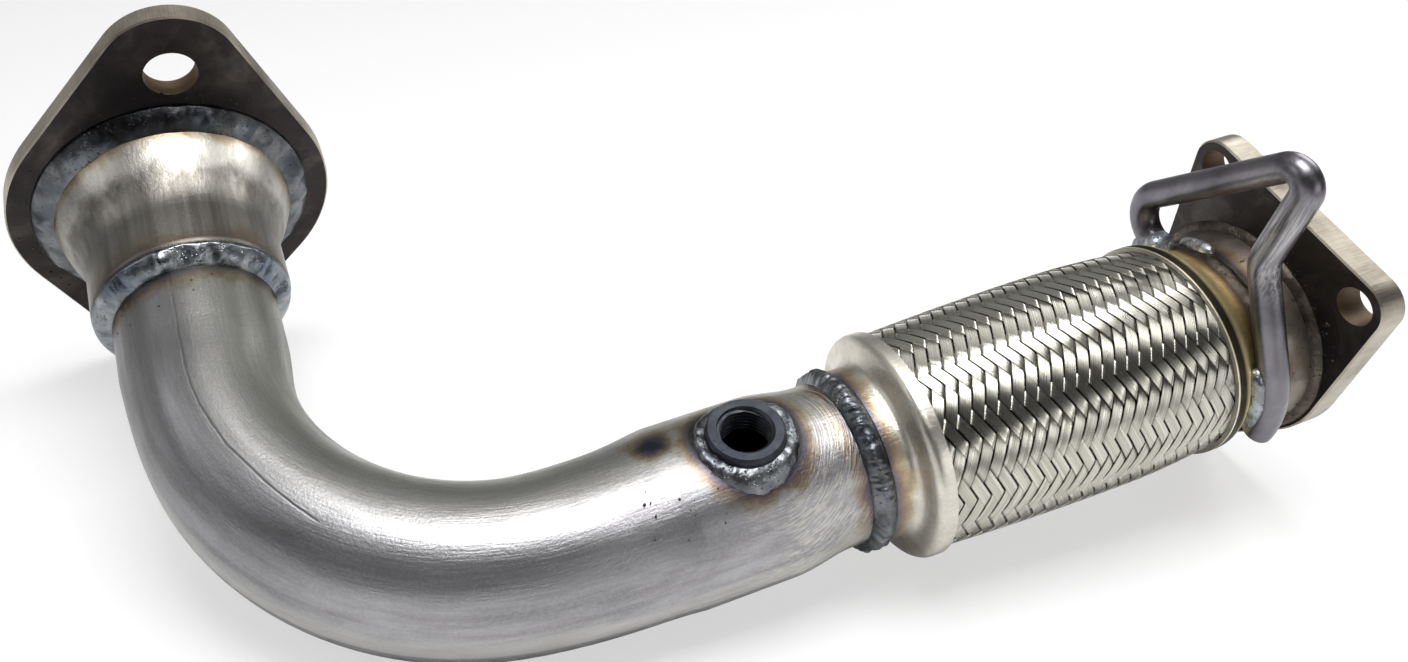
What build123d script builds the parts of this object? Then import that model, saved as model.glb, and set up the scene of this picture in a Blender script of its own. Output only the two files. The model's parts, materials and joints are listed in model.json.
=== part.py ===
from build123d import *
import math
import os

os.makedirs("parts", exist_ok=True)

# Exhaust front pipe: a two-bolt inlet flange, a bell, a bent steel tube with a sensor boss,
# a braided flexible section, an outlet bell, a three-bolt flange and a bent rod hanger.
# All sizes in millimetres and degrees. The pipe lies loose on the floor at z = 0.

# Tube
tube_radius = 28.6
tube_wall = 1.8
bend_radius = 96.0
inlet_leg = 96.0
bend_flat_radius = 26.4
bend_tall_radius = 30.0
bend_easing = 13.0
flatten_start = 82.0
step_start = 17.0
step_end = 29.0
step_radius = 28.2
step_tall_radius = 28.7
step_shift = 0.6
swell_start = 35.0
swell_end = 66.0
swell_radius = 29.8
swell_lead = 0.5
swage_start = 88.0
swage_radius = 27.2
swage_end = 101.0

# Inlet flange
inlet_plate_thickness = 8.0
inlet_disc_radius = 60.0
inlet_lobe_radius = 25.0
inlet_bolt_radius = 65.4
inlet_hole_radius = 9.5
inlet_clocking = 12.0
plate_chamfer = 0.6

# Inlet bell
bell_wall = 3.0
bell_mouth_radius = 45.5
bell_inset = 5.0
bell_shoulder_length = 27.5
bell_shoulder_bulge = 0.9
bell_shoulder_fillet = 30.0
bell_neck_radius = 35.0
bell_neck_end = 55.5
bell_rim_fillet = 3.6
bell_overlap = 12.0

# Sensor boss
boss_station = 58.8
boss_lean = 7.9
boss_top = 32.9
boss_height = 10.5
boss_radius = 12.5
boss_bore_radius = 8.2
boss_mouth_radius = 9.2
boss_edge = 1.0
boss_weld_radius = 16.4
boss_weld_top = 31.9

# Flexible section
collar_wall = 1.6
collar_neck_start = 95.5
collar_flare_start = 104.5
lip_radius = 38.4
lip_length = 2.6
braid_start = 115.0
braid_end = 223.8
braid_belly_rise = 2.1
braid_belly_station = 188.0
braid_thickness = 1.4
bellows_wall = 0.5
bellows_folds = 10
bellows_cuff = 5.0
liner_wall = 0.8
outlet_neck_radius = 33.9
outlet_flare_end = 236.0
outlet_neck_end = 241.6

# Outlet bell and flange
outlet_bell_wall = 2.4
outlet_bell_start_gap = 0.6
outlet_bell_bulge = 0.9
outlet_bell_radius = 36.3
outlet_face = 258.9
outlet_plate_thickness = 10.0
outlet_disc_radius = 39.8
outlet_disc_shift = 0.8
outlet_lobe_radius = 10.2
outlet_hole_radius = 6.6
outlet_hole_rise = 47.2
outlet_hole_pitch = 66.4
outlet_hole_shift = 2.8
outlet_low_hole_drop = 57.5

# Hanger rod
rod_radius = 5.0
rod_station = 237.6
rod_hook_radius = 10.5
rod_tip_radius = 5.7
rod_elbow_radius = 15.0
rod_foot_angle = 37.4
rod_foot_height = 2.2
rod_hook_out = 18.3
rod_hook_up = 5.1
rod_tip_side = -8.5
rod_tip_rise = 63.6
rod_elbow_side = -8.2
rod_elbow_rise = 15.1
rod_wrap_end = 185.0
rod_end_chamfer = 0.9

# Weld beads
inlet_flange_bead = 5.6
inlet_bell_bead = 4.2
flex_bead_half_width = 4.2
flex_bead_crest = 31.6
neck_bead_half_width = 2.6
neck_bead_height = 1.5
outlet_flange_bead = 2.4
rod_bead_radius = 3.2
rod_bead_height = 2.8
rod_bead_inset = 0.6
rod_bead_share = 0.85
rod_foot_bead = 7.6
rod_foot_offset = 1.0
bead_fullness = 0.22
bead_sink = 2.0
bead_lap = 0.5

# Clearances: a sliding fit, the liner inside the collar, the folds under the braid and round
# the liner, and the liner's ends
slip = 0.1
liner_slack = 0.3
crest_slack = 0.3
root_slack = 1.6
liner_end_gap = 1.0

# Radii that fit one another, from the tube's end outwards to the braid
collar_neck_radius = swage_radius + slip + collar_wall
liner_radius = collar_neck_radius - collar_wall - liner_slack
bellows_root_radius = liner_radius + root_slack
braid_rim = lip_radius - collar_wall - slip
braid_belly_radius = braid_rim + braid_belly_rise
bellows_crest_radius = braid_rim - braid_thickness - crest_slack

# How the pipe lies: the outlet leg climbs and the plane of both legs rolls over, until it
# rests on the lower lobe of each flange and the underside of the bend.
leg_climb = 7.207
side_roll = 20.036
bend_centre = (-59.65, 8.571, 64.048)

climb = math.radians(leg_climb)
roll = math.radians(side_roll)
pipe_plane = Plane(
    origin=bend_centre,
    x_dir=(math.cos(climb), 0, math.sin(climb)),
    z_dir=(
        -math.sin(climb) * math.cos(roll),
        -math.sin(roll),
        math.cos(climb) * math.cos(roll),
    ),
)


def spot(x, y, z=0.0):
    """A point given from the bend's centre: x along the outlet leg, y back to the inlet."""
    return pipe_plane.from_local_coords(Vector(x, y, z))


def heading(x, y, z=0.0):
    """A direction in the same terms."""
    return spot(x, y, z) - spot(0, 0, 0)


# Profile planes hold a revolved outline: first value along the leg, second value its radius.
inlet_profile = Plane(
    origin=spot(-bend_radius, inlet_leg), x_dir=heading(0, -1), z_dir=heading(0, 0, -1)
)
outlet_profile = Plane(origin=spot(0, -bend_radius), x_dir=heading(1, 0), z_dir=heading(0, 0, 1))
inlet_axis = Axis(inlet_profile.origin, inlet_profile.x_dir)
outlet_axis = Axis(outlet_profile.origin, outlet_profile.x_dir)


def inlet_section(along):
    """Plane across the inlet leg: first value to the bend's inside, second value up."""
    return Plane(
        origin=spot(-bend_radius, inlet_leg - along), x_dir=heading(1, 0), z_dir=heading(0, -1)
    )


def outlet_section(along):
    """Plane across the outlet leg: first value to the bend's inside, second value up."""
    return Plane(origin=spot(along, -bend_radius), x_dir=heading(0, 1), z_dir=heading(1, 0))


def bend_oval(turn, across, tall):
    """An oval across the bend, at an angle from its start."""
    angle = math.radians(turn)
    middle = spot(-bend_radius * math.cos(angle), -bend_radius * math.sin(angle))
    forward = heading(math.sin(angle), -math.cos(angle))
    with BuildSketch(Plane(origin=middle, x_dir=heading(0, 0, 1), z_dir=forward)) as oval:
        Ellipse(tall, across)
    return oval.sketch


def inlet_round(along, radius):
    """A round across the inlet leg."""
    middle = spot(-bend_radius, inlet_leg - along)
    with BuildSketch(Plane(origin=middle, x_dir=heading(0, 0, 1), z_dir=heading(0, -1))) as ring:
        Ellipse(radius, radius)
    return ring.sketch


def leg_oval(along, across, tall, shift=0.0):
    """An oval across the outlet leg, moved to the outside of the bend by the shift."""
    middle = spot(along, -bend_radius - shift)
    with BuildSketch(Plane(origin=middle, x_dir=heading(0, 0, 1), z_dir=heading(1, 0))) as oval:
        Ellipse(tall, across)
    return oval.sketch


def bend_run(inset):
    """Sections from round, through the flattened bend, to the swollen outlet leg."""
    flat = bend_flat_radius - inset
    tall = bend_tall_radius - inset
    runs = [inlet_round(flatten_start, tube_radius - inset)]
    runs.append(bend_oval(0, (flat + tube_radius - inset) / 2, (tall + tube_radius - inset) / 2))
    for step in range(6):
        runs.append(bend_oval(bend_easing + step * (90 - 2 * bend_easing) / 5, flat, tall))
    middle_flat = (bend_flat_radius + step_radius) / 2 - inset
    middle_tall = (bend_tall_radius + step_tall_radius) / 2 - inset
    runs.append(leg_oval(0, middle_flat, middle_tall, step_shift / 2))
    runs.append(leg_oval(step_start, step_radius - inset, step_tall_radius - inset, step_shift))
    lead = swell_radius - swell_lead - inset
    runs.append(leg_oval(step_end, lead, lead))
    runs.append(leg_oval(swell_start, swell_radius - inset, swell_radius - inset))
    return runs


def eased_line(start, end):
    """A smooth change from one radius to another, level at both ends."""
    start, end = Vector(*start), Vector(*end)
    level = (math.copysign(1, end.X - start.X), 0)
    return Spline(start, end, tangents=(level, level))


# Inlet bell: a domed shoulder from the flange to a straight neck, its rim turned in on the tube
with BuildPart() as inlet_bell:
    with BuildSketch(inlet_profile):
        with BuildLine():
            shoulder_middle = (
                bell_shoulder_length / 2,
                (bell_mouth_radius + bell_neck_radius) / 2 + bell_shoulder_bulge,
            )
            outer_lip = Line((-bell_inset, bell_mouth_radius), (0, bell_mouth_radius))
            outer_dome = ThreePointArc(
                outer_lip @ 1, shoulder_middle, (bell_shoulder_length, bell_neck_radius)
            )
            outer_neck = Line(outer_dome @ 1, (bell_neck_end, bell_neck_radius))
            rim = Line(outer_neck @ 1, (bell_neck_end, tube_radius + slip))
            rim_wall = Line(rim @ 1, (bell_neck_end - bell_wall, tube_radius + slip))
            inner_rim = Line(
                rim_wall @ 1, (bell_neck_end - bell_wall, bell_neck_radius - bell_wall)
            )
            inner_neck = Line(inner_rim @ 1, (bell_shoulder_length, bell_neck_radius - bell_wall))
            inner_dome = ThreePointArc(
                inner_neck @ 1,
                (shoulder_middle[0] - bell_shoulder_bulge, shoulder_middle[1] - bell_wall),
                (0, bell_mouth_radius - bell_wall),
            )
            Polyline(
                inner_dome @ 1,
                (-bell_inset, bell_mouth_radius - bell_wall),
                (-bell_inset, bell_mouth_radius),
            )
        make_face()
    revolve(axis=inlet_axis)
    rim_edges = inlet_bell.edges().filter_by(GeomType.CIRCLE)
    neck_edge = rim_edges.filter_by(lambda e: abs(e.radius - bell_neck_radius) < 0.01)
    fillet(neck_edge.sort_by(inlet_axis)[-1], bell_rim_fillet)
    neck_edge = inlet_bell.edges().filter_by(GeomType.CIRCLE)
    neck_edge = neck_edge.filter_by(lambda e: abs(e.radius - bell_neck_radius) < 0.01)
    fillet(neck_edge.sort_by(inlet_axis)[0], bell_shoulder_fillet)
inlet_bell.part.label = "inlet_bell"
export_step(inlet_bell.part, "parts/inlet_bell.step")

# Inlet flange: a plate with a round middle and two bolt lobes, bored to take the bell's mouth
with BuildPart() as inlet_flange:
    with BuildSketch(inlet_section(0)):
        Circle(inlet_disc_radius)
        with PolarLocations(inlet_bolt_radius, 2, start_angle=90 - inlet_clocking):
            Circle(inlet_lobe_radius)
        make_hull()
        Circle(bell_mouth_radius + slip, mode=Mode.SUBTRACT)
        with PolarLocations(inlet_bolt_radius, 2, start_angle=90 - inlet_clocking):
            Circle(inlet_hole_radius, mode=Mode.SUBTRACT)
    extrude(amount=-inlet_plate_thickness)
    plate_faces = inlet_flange.faces().filter_by(inlet_axis).sort_by(inlet_axis)
    chamfer(plate_faces[0].outer_wire().edges(), plate_chamfer)
    chamfer(
        inlet_flange.faces().filter_by(inlet_axis).sort_by(inlet_axis)[-1].outer_wire().edges(),
        plate_chamfer,
    )
inlet_flange.part.label = "inlet_flange"
export_step(inlet_flange.part, "parts/inlet_flange.step")

# Fillet weld between the flange and the bell
with BuildPart() as inlet_flange_weld:
    with BuildSketch(inlet_profile):
        with BuildLine():
            bead_foot = (0, bell_mouth_radius + inlet_flange_bead)
            bead_head = (inlet_flange_bead, bell_mouth_radius - bead_sink)
            SagittaArc(bead_head, bead_foot, -bead_fullness * inlet_flange_bead)
            Polyline(bead_foot, (0, bell_mouth_radius - bead_sink), bead_head)
        make_face()
    revolve(axis=inlet_axis)
    add(inlet_bell.part, mode=Mode.SUBTRACT)
inlet_flange_weld.part.label = "inlet_flange_weld"
export_step(inlet_flange_weld.part, "parts/inlet_flange_weld.step")

# Bent tube: straight inlet leg, flattened bend, swollen outlet leg and swaged end
with BuildPart() as tube_blank:
    with BuildSketch(inlet_section(bell_neck_end - bell_overlap)):
        Circle(tube_radius)
    extrude(amount=flatten_start - bell_neck_end + bell_overlap)
    loft(sections=bend_run(0))
    with BuildSketch(outlet_profile):
        with BuildLine():
            swell = Line((swell_start, swell_radius), (swell_end, swell_radius))
            swage = eased_line(swell @ 1, (swage_start, swage_radius))
            Polyline(
                swage @ 1,
                (swage_end, swage_radius),
                (swage_end, 0),
                (swell_start, 0),
                swell @ 0,
            )
        make_face()
    revolve(axis=outlet_axis)
    with BuildSketch(inlet_section(bell_neck_end - bell_overlap)):
        Circle(tube_radius - tube_wall)
    extrude(amount=flatten_start - bell_neck_end + bell_overlap, mode=Mode.SUBTRACT)
    loft(sections=bend_run(tube_wall), mode=Mode.SUBTRACT)
    with BuildSketch(outlet_profile):
        with BuildLine():
            swell = Line(
                (swell_start, swell_radius - tube_wall), (swell_end, swell_radius - tube_wall)
            )
            swage = eased_line(swell @ 1, (swage_start, swage_radius - tube_wall))
            Polyline(
                swage @ 1,
                (swage_end, swage_radius - tube_wall),
                (swage_end, 0),
                (swell_start, 0),
                swell @ 0,
            )
        make_face()
    revolve(axis=outlet_axis, mode=Mode.SUBTRACT)

# Weld between the bell's rim and the tube
with BuildPart() as inlet_bell_weld:
    with BuildSketch(inlet_profile):
        with BuildLine():
            bead_foot = (bell_neck_end + inlet_bell_bead, tube_radius - slip)
            bead_head = (bell_neck_end - bead_lap, bell_neck_radius - bead_lap)
            SagittaArc(bead_foot, bead_head, -bead_fullness * inlet_bell_bead)
            Polyline(bead_head, (bell_neck_end - bell_wall / 2, tube_radius - slip), bead_foot)
        make_face()
    revolve(axis=inlet_axis)
    add(inlet_bell.part, mode=Mode.SUBTRACT)
    with BuildSketch(inlet_section(bell_neck_end - bell_wall)):
        Circle(tube_radius)
    extrude(amount=2 * bell_overlap, mode=Mode.SUBTRACT)
inlet_bell_weld.part.label = "inlet_bell_weld"
export_step(inlet_bell_weld.part, "parts/inlet_bell_weld.step")

# Sensor boss: a short turned bush that leans to the bend's inside, let into the tube's top
lean = math.radians(boss_lean)
boss_up = heading(0, math.sin(lean), math.cos(lean))
boss_middle = spot(boss_station, -bend_radius)
boss_seat = Plane(
    origin=boss_middle + boss_up * (boss_top - boss_height), x_dir=heading(1, 0), z_dir=boss_up
)
boss_profile = Plane(
    origin=boss_middle, x_dir=heading(1, 0), z_dir=-heading(0, math.cos(lean), -math.sin(lean))
)
boss_axis = Axis(boss_middle, boss_up)
with BuildPart() as sensor_boss:
    with BuildSketch(boss_seat):
        Circle(boss_radius)
        Circle(boss_bore_radius, mode=Mode.SUBTRACT)
    extrude(amount=boss_height)
    top_ring = sensor_boss.faces().sort_by(boss_axis)[-1]
    chamfer(top_ring.outer_wire().edges(), boss_edge)
    top_ring = sensor_boss.faces().sort_by(boss_axis)[-1]
    chamfer(top_ring.inner_wires()[0].edges(), boss_mouth_radius - boss_bore_radius)
sensor_boss.part.label = "sensor_boss"
export_step(sensor_boss.part, "parts/sensor_boss.step")

# The tube is cut through for the boss
with BuildPart() as front_tube:
    add(tube_blank.part)
    with BuildSketch(boss_seat):
        Circle(boss_radius + slip)
    extrude(amount=boss_height, mode=Mode.SUBTRACT)
front_tube.part.label = "front_tube"
export_step(front_tube.part, "parts/front_tube.step")

# Weld round the boss, a skirt that follows the tube's top
with BuildPart() as sensor_boss_weld:
    with BuildSketch(boss_profile):
        with BuildLine():
            skirt_head = (boss_radius - slip, boss_weld_top)
            skirt_foot = (boss_weld_radius, boss_top - boss_height)
            SagittaArc(skirt_head, skirt_foot, bead_fullness * (boss_weld_top - swell_radius) * 2)
            Polyline(skirt_foot, (boss_radius - slip, boss_top - boss_height), skirt_head)
        make_face()
    revolve(axis=boss_axis)
    with BuildSketch(outlet_profile):
        with Locations((boss_station, swell_radius / 2)):
            Rectangle(6 * boss_radius, swell_radius)
    revolve(axis=outlet_axis, mode=Mode.SUBTRACT)
    add(sensor_boss.part, mode=Mode.SUBTRACT)
sensor_boss_weld.part.label = "sensor_boss_weld"
export_step(sensor_boss_weld.part, "parts/sensor_boss_weld.step")


def collar_outline(neck_edge, neck_turn, neck_radius, lip_turn, lip_edge):
    """Pressed sheet in section, from a neck's edge through its flare to the lip's edge."""
    lean_in = math.copysign(collar_wall * 0.6, lip_edge - neck_edge)
    outer_neck = Line((neck_edge, neck_radius), (neck_turn, neck_radius))
    outer_flare = eased_line(outer_neck @ 1, (lip_turn, lip_radius))
    rim = Polyline(
        outer_flare @ 1,
        (lip_edge, lip_radius),
        (lip_edge, lip_radius - collar_wall),
        (lip_turn + lean_in * 0.3, lip_radius - collar_wall),
    )
    inner_flare = eased_line(rim @ 1, (neck_turn + lean_in, neck_radius - collar_wall))
    Polyline(inner_flare @ 1, (neck_edge, neck_radius - collar_wall), (neck_edge, neck_radius))


# Flexible section, inlet collar: a neck over the tube's end, a flare and a lip over the braid
with BuildPart() as flex_inlet_collar:
    with BuildSketch(outlet_profile):
        with BuildLine():
            collar_outline(
                collar_neck_start,
                collar_flare_start,
                collar_neck_radius,
                braid_start - lip_length,
                braid_start,
            )
        make_face()
    revolve(axis=outlet_axis)
flex_inlet_collar.part.label = "flex_inlet_collar"
export_step(flex_inlet_collar.part, "parts/flex_inlet_collar.step")

# Outlet collar: a lip over the braid's end, a flare down to a neck
with BuildPart() as flex_outlet_collar:
    with BuildSketch(outlet_profile):
        with BuildLine():
            collar_outline(
                outlet_neck_end,
                outlet_flare_end,
                outlet_neck_radius,
                braid_end + lip_length,
                braid_end,
            )
        make_face()
    revolve(axis=outlet_axis)
flex_outlet_collar.part.label = "flex_outlet_collar"
export_step(flex_outlet_collar.part, "parts/flex_outlet_collar.step")

# Braid sleeve: a barrel, fullest towards its outlet end, whose plain ends run under both lips
lip_rest = lip_length - collar_wall * 0.5
braid_ends = (braid_start - lip_rest, braid_end + lip_rest)
with BuildPart() as flex_braid:
    with BuildSketch(outlet_profile):
        with BuildLine():
            for inset in (0, braid_thickness):
                belly = (braid_belly_station, braid_belly_radius - inset)
                edges = [(braid_start, braid_rim - inset), (braid_end, braid_rim - inset)]
                Spline(edges[0], belly, edges[1])
                Line(edges[0], (braid_ends[0], braid_rim - inset))
                Line(edges[1], (braid_ends[1], braid_rim - inset))
            for end in braid_ends:
                Line((end, braid_rim), (end, braid_rim - braid_thickness))
        make_face()
    revolve(axis=outlet_axis)
flex_braid.part.label = "flex_braid"
export_step(flex_braid.part, "parts/flex_braid.step")

# Bellows: thin corrugated tube under the braid, in steep folds between two plain cuffs
bellows_start = braid_ends[0] + bellows_cuff
fold_pitch = (braid_ends[1] - bellows_cuff - bellows_start) / bellows_folds
cuff_radius = braid_rim - braid_thickness - slip
fold_half_crest = fold_pitch * 0.2
fold_half_foot = fold_pitch * 0.3


def fold_corners(crest, root, widen):
    """Corners of every fold in turn, each crest widened by the amount given."""
    corners = []
    for fold in range(bellows_folds):
        middle = bellows_start + (fold + 0.5) * fold_pitch
        corners.append((middle - fold_half_foot - widen, root))
        corners.append((middle - fold_half_crest - widen, crest))
        corners.append((middle + fold_half_crest + widen, crest))
        corners.append((middle + fold_half_foot + widen, root))
    return corners


with BuildPart() as flex_bellows:
    with BuildSketch(outlet_profile):
        with BuildLine():
            half_wall = bellows_wall / 2
            inner_cuff = cuff_radius - bellows_wall
            inner_root = bellows_root_radius - bellows_wall
            inner_crest = bellows_crest_radius - bellows_wall
            first_turn = bellows_start - half_wall
            last_turn = bellows_start + bellows_folds * fold_pitch + half_wall
            outer_side = [(braid_ends[0], cuff_radius), (first_turn, cuff_radius)]
            outer_side += [(first_turn + bellows_wall, bellows_root_radius)]
            outer_side += fold_corners(bellows_crest_radius, bellows_root_radius, half_wall)[1:-1]
            outer_side += [(last_turn - bellows_wall, bellows_root_radius)]
            outer_side += [(last_turn, cuff_radius), (braid_ends[1], cuff_radius)]
            inner_side = [(braid_ends[0], inner_cuff), (first_turn - bellows_wall, inner_cuff)]
            inner_side += [(first_turn, inner_root)]
            inner_side += fold_corners(inner_crest, inner_root, -half_wall)
            inner_side += [(last_turn, inner_root)]
            inner_side += [(last_turn + bellows_wall, inner_cuff), (braid_ends[1], inner_cuff)]
            Polyline(*outer_side, *reversed(inner_side), close=True)
        make_face()
    revolve(axis=outlet_axis)
flex_bellows.part.label = "flex_bellows"
export_step(flex_bellows.part, "parts/flex_bellows.step")

# Liner: the smooth gas path inside the bellows, opened out at the outlet end
liner_start = swage_end + liner_end_gap
liner_end = outlet_neck_end - liner_end_gap
liner_swell_start = braid_ends[1]
liner_swell_end = outlet_flare_end + liner_end_gap
liner_mouth_radius = outlet_neck_radius - collar_wall - slip
with BuildPart() as flex_liner:
    with BuildSketch(outlet_profile):
        with BuildLine():
            outer_run = Line((liner_start, liner_radius), (liner_swell_start, liner_radius))
            outer_swell = eased_line(outer_run @ 1, (liner_swell_end, liner_mouth_radius))
            edge = Polyline(
                outer_swell @ 1,
                (liner_end, liner_mouth_radius),
                (liner_end, liner_mouth_radius - liner_wall),
                (liner_swell_end, liner_mouth_radius - liner_wall),
            )
            inner_swell = eased_line(edge @ 1, (liner_swell_start, liner_radius - liner_wall))
            Polyline(
                inner_swell @ 1,
                (liner_start, liner_radius - liner_wall),
                (liner_start, liner_radius),
            )
        make_face()
    revolve(axis=outlet_axis)
flex_liner.part.label = "flex_liner"
export_step(flex_liner.part, "parts/flex_liner.step")

# Weld between the tube's end and the inlet collar
with BuildPart() as flex_inlet_weld:
    with BuildSketch(outlet_profile):
        with BuildLine():
            bead_floor = swage_radius - bead_lap
            bead_left = (collar_neck_start - flex_bead_half_width, bead_floor)
            bead_right = (collar_neck_start + flex_bead_half_width, collar_neck_radius - bead_lap)
            ThreePointArc(bead_left, (collar_neck_start - bead_lap, flex_bead_crest), bead_right)
            Polyline(bead_right, (bead_right[0], bead_floor), bead_left)
        make_face()
    revolve(axis=outlet_axis)
    add(front_tube.part, mode=Mode.SUBTRACT)
    add(flex_inlet_collar.part, mode=Mode.SUBTRACT)
flex_inlet_weld.part.label = "flex_inlet_weld"
export_step(flex_inlet_weld.part, "parts/flex_inlet_weld.step")

# Outlet bell: a short dome from the collar's neck out to the flange
bell_start = outlet_neck_end + outlet_bell_start_gap
with BuildPart() as outlet_bell:
    with BuildSketch(outlet_profile):
        with BuildLine():
            middle_radius = (outlet_neck_radius + outlet_bell_radius) / 2 + outlet_bell_bulge
            middle_along = (bell_start + outlet_face) / 2
            outer_dome = ThreePointArc(
                (bell_start, outlet_neck_radius),
                (middle_along, middle_radius),
                (outlet_face, outlet_bell_radius),
            )
            face_edge = Line(outer_dome @ 1, (outlet_face, outlet_bell_radius - outlet_bell_wall))
            inner_dome = ThreePointArc(
                face_edge @ 1,
                (middle_along, middle_radius - outlet_bell_wall),
                (bell_start, outlet_neck_radius - outlet_bell_wall),
            )
            Line(inner_dome @ 1, outer_dome @ 0)
        make_face()
    revolve(axis=outlet_axis)
outlet_bell.part.label = "outlet_bell"
export_step(outlet_bell.part, "parts/outlet_bell.step")

# Outlet flange: a three-lobed plate, two holes close together above and one below
upper_holes = Pos(outlet_hole_shift, outlet_hole_rise) * GridLocations(outlet_hole_pitch, 0, 2, 1)
outlet_holes = [*upper_holes, Location((-outlet_disc_shift, -outlet_low_hole_drop))]
with BuildPart() as outlet_flange:
    with BuildSketch(outlet_section(outlet_face)):
        with Locations((-outlet_disc_shift, 0)):
            Circle(outlet_disc_radius)
        with Locations(*outlet_holes):
            Circle(outlet_lobe_radius)
        make_hull()
        Circle(outlet_bell_radius - outlet_bell_wall, mode=Mode.SUBTRACT)
        with Locations(*outlet_holes):
            Circle(outlet_hole_radius, mode=Mode.SUBTRACT)
    extrude(amount=outlet_plate_thickness)
    plate_faces = outlet_flange.faces().filter_by(outlet_axis).sort_by(outlet_axis)
    chamfer(plate_faces[0].outer_wire().edges(), plate_chamfer)
    plate_faces = outlet_flange.faces().filter_by(outlet_axis).sort_by(outlet_axis)
    chamfer(plate_faces[-1].outer_wire().edges(), plate_chamfer)
outlet_flange.part.label = "outlet_flange"
export_step(outlet_flange.part, "parts/outlet_flange.step")

# Fillet weld between the outlet bell and its flange
with BuildPart() as outlet_flange_weld:
    with BuildSketch(outlet_profile):
        with BuildLine():
            bead_foot = (outlet_face, outlet_bell_radius + outlet_flange_bead)
            bead_root = outlet_bell_radius - outlet_bell_wall / 2
            bead_head = (outlet_face - outlet_flange_bead, bead_root)
            SagittaArc(bead_foot, bead_head, -bead_fullness * outlet_flange_bead)
            Polyline(bead_head, (outlet_face, bead_root), bead_foot)
        make_face()
    revolve(axis=outlet_axis)
    add(outlet_bell.part, mode=Mode.SUBTRACT)
outlet_flange_weld.part.label = "outlet_flange_weld"
export_step(outlet_flange_weld.part, "parts/outlet_flange_weld.step")

# Hanger rod: round bar in one plane across the pipe. A hook stands on the collar's neck, a
# long slope runs to a tight loop at the side, and the return leg wraps round the neck.
rod_plane = outlet_section(rod_station)
wrap_radius = outlet_neck_radius + rod_radius
foot_radius = outlet_neck_radius + rod_foot_height
foot_angle = math.radians(rod_foot_angle)
foot = (foot_radius * math.cos(foot_angle), foot_radius * math.sin(foot_angle))
hook = (foot[0] + rod_hook_out, foot[1] + rod_hook_up)
tip = (rod_tip_side, wrap_radius + rod_tip_rise)
elbow = (rod_elbow_side, wrap_radius + rod_elbow_rise)
touch_angle = math.atan2(elbow[1], elbow[0]) + math.acos(wrap_radius / math.hypot(*elbow))
touch = (wrap_radius * math.cos(touch_angle), wrap_radius * math.sin(touch_angle))
with BuildPart() as hanger_rod:
    with BuildLine(rod_plane) as rod_path:
        bends = FilletPolyline(
            foot,
            hook,
            tip,
            elbow,
            touch,
            radius=(rod_hook_radius, rod_tip_radius, rod_elbow_radius),
        )
        wrap_turn = rod_wrap_end - math.degrees(touch_angle)
        CenterArc((0, 0), wrap_radius, math.degrees(touch_angle), wrap_turn)
    with BuildSketch(Plane(origin=rod_path.line @ 0, z_dir=rod_path.line % 0)):
        Circle(rod_radius)
    sweep()
    end_rims = hanger_rod.edges().filter_by(GeomType.CIRCLE)
    last_rim = end_rims.sort_by(lambda e: (e.center() - rod_path.line @ 1).length)[0]
    chamfer(last_rim, rod_end_chamfer)
hanger_rod.part.label = "hanger_rod"
export_step(hanger_rod.part, "parts/hanger_rod.step")

# The outlet collar and bell as one filled body, which bounds the rod's welds from inside
with BuildPart() as outlet_core:
    with BuildSketch(outlet_profile):
        with BuildLine():
            core_lip = Line((braid_end, lip_radius), (braid_end + lip_length, lip_radius))
            core_flare = eased_line(core_lip @ 1, (outlet_flare_end, outlet_neck_radius))
            core_dome = Polyline(
                core_flare @ 1,
                (outlet_neck_end, outlet_neck_radius),
                (outlet_face, outlet_bell_radius),
            )
            Polyline(core_dome @ 1, (outlet_face, 0), (braid_end, 0), core_lip @ 0)
        make_face()
    revolve(axis=outlet_axis)
    add(flex_outlet_collar.part)

# Weld round the rod's foot, a lump on the collar's neck
with BuildPart() as hanger_upper_weld:
    with Locations(Location(rod_plane.from_local_coords((*foot, -rod_foot_offset)))):
        Sphere(rod_foot_bead)
    add(outlet_core.part, mode=Mode.SUBTRACT)
    add(outlet_bell.part, mode=Mode.SUBTRACT)
    add(hanger_rod.part, mode=Mode.SUBTRACT)
hanger_upper_weld.part.label = "hanger_upper_weld"
export_step(hanger_upper_weld.part, "parts/hanger_upper_weld.step")

# Weld bead along the wrap, in the groove between the rod and the collar's flare
wrap_start = math.degrees(touch_angle)
with BuildPart() as hanger_lower_weld:
    start_angle = math.radians(wrap_start)
    bead_plane = Plane(
        origin=outlet_axis.position,
        x_dir=heading(1, 0),
        z_dir=heading(0, -math.sin(start_angle), math.cos(start_angle)),
    )
    with BuildSketch(bead_plane):
        bead_station = rod_station - rod_radius + rod_bead_inset
        with Locations((bead_station, outlet_neck_radius + rod_bead_height)):
            Circle(rod_bead_radius)
    revolve(axis=outlet_axis, revolution_arc=wrap_turn * rod_bead_share)
    add(outlet_core.part, mode=Mode.SUBTRACT)
    add(hanger_rod.part, mode=Mode.SUBTRACT)
hanger_lower_weld.part.label = "hanger_lower_weld"
export_step(hanger_lower_weld.part, "parts/hanger_lower_weld.step")

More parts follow.
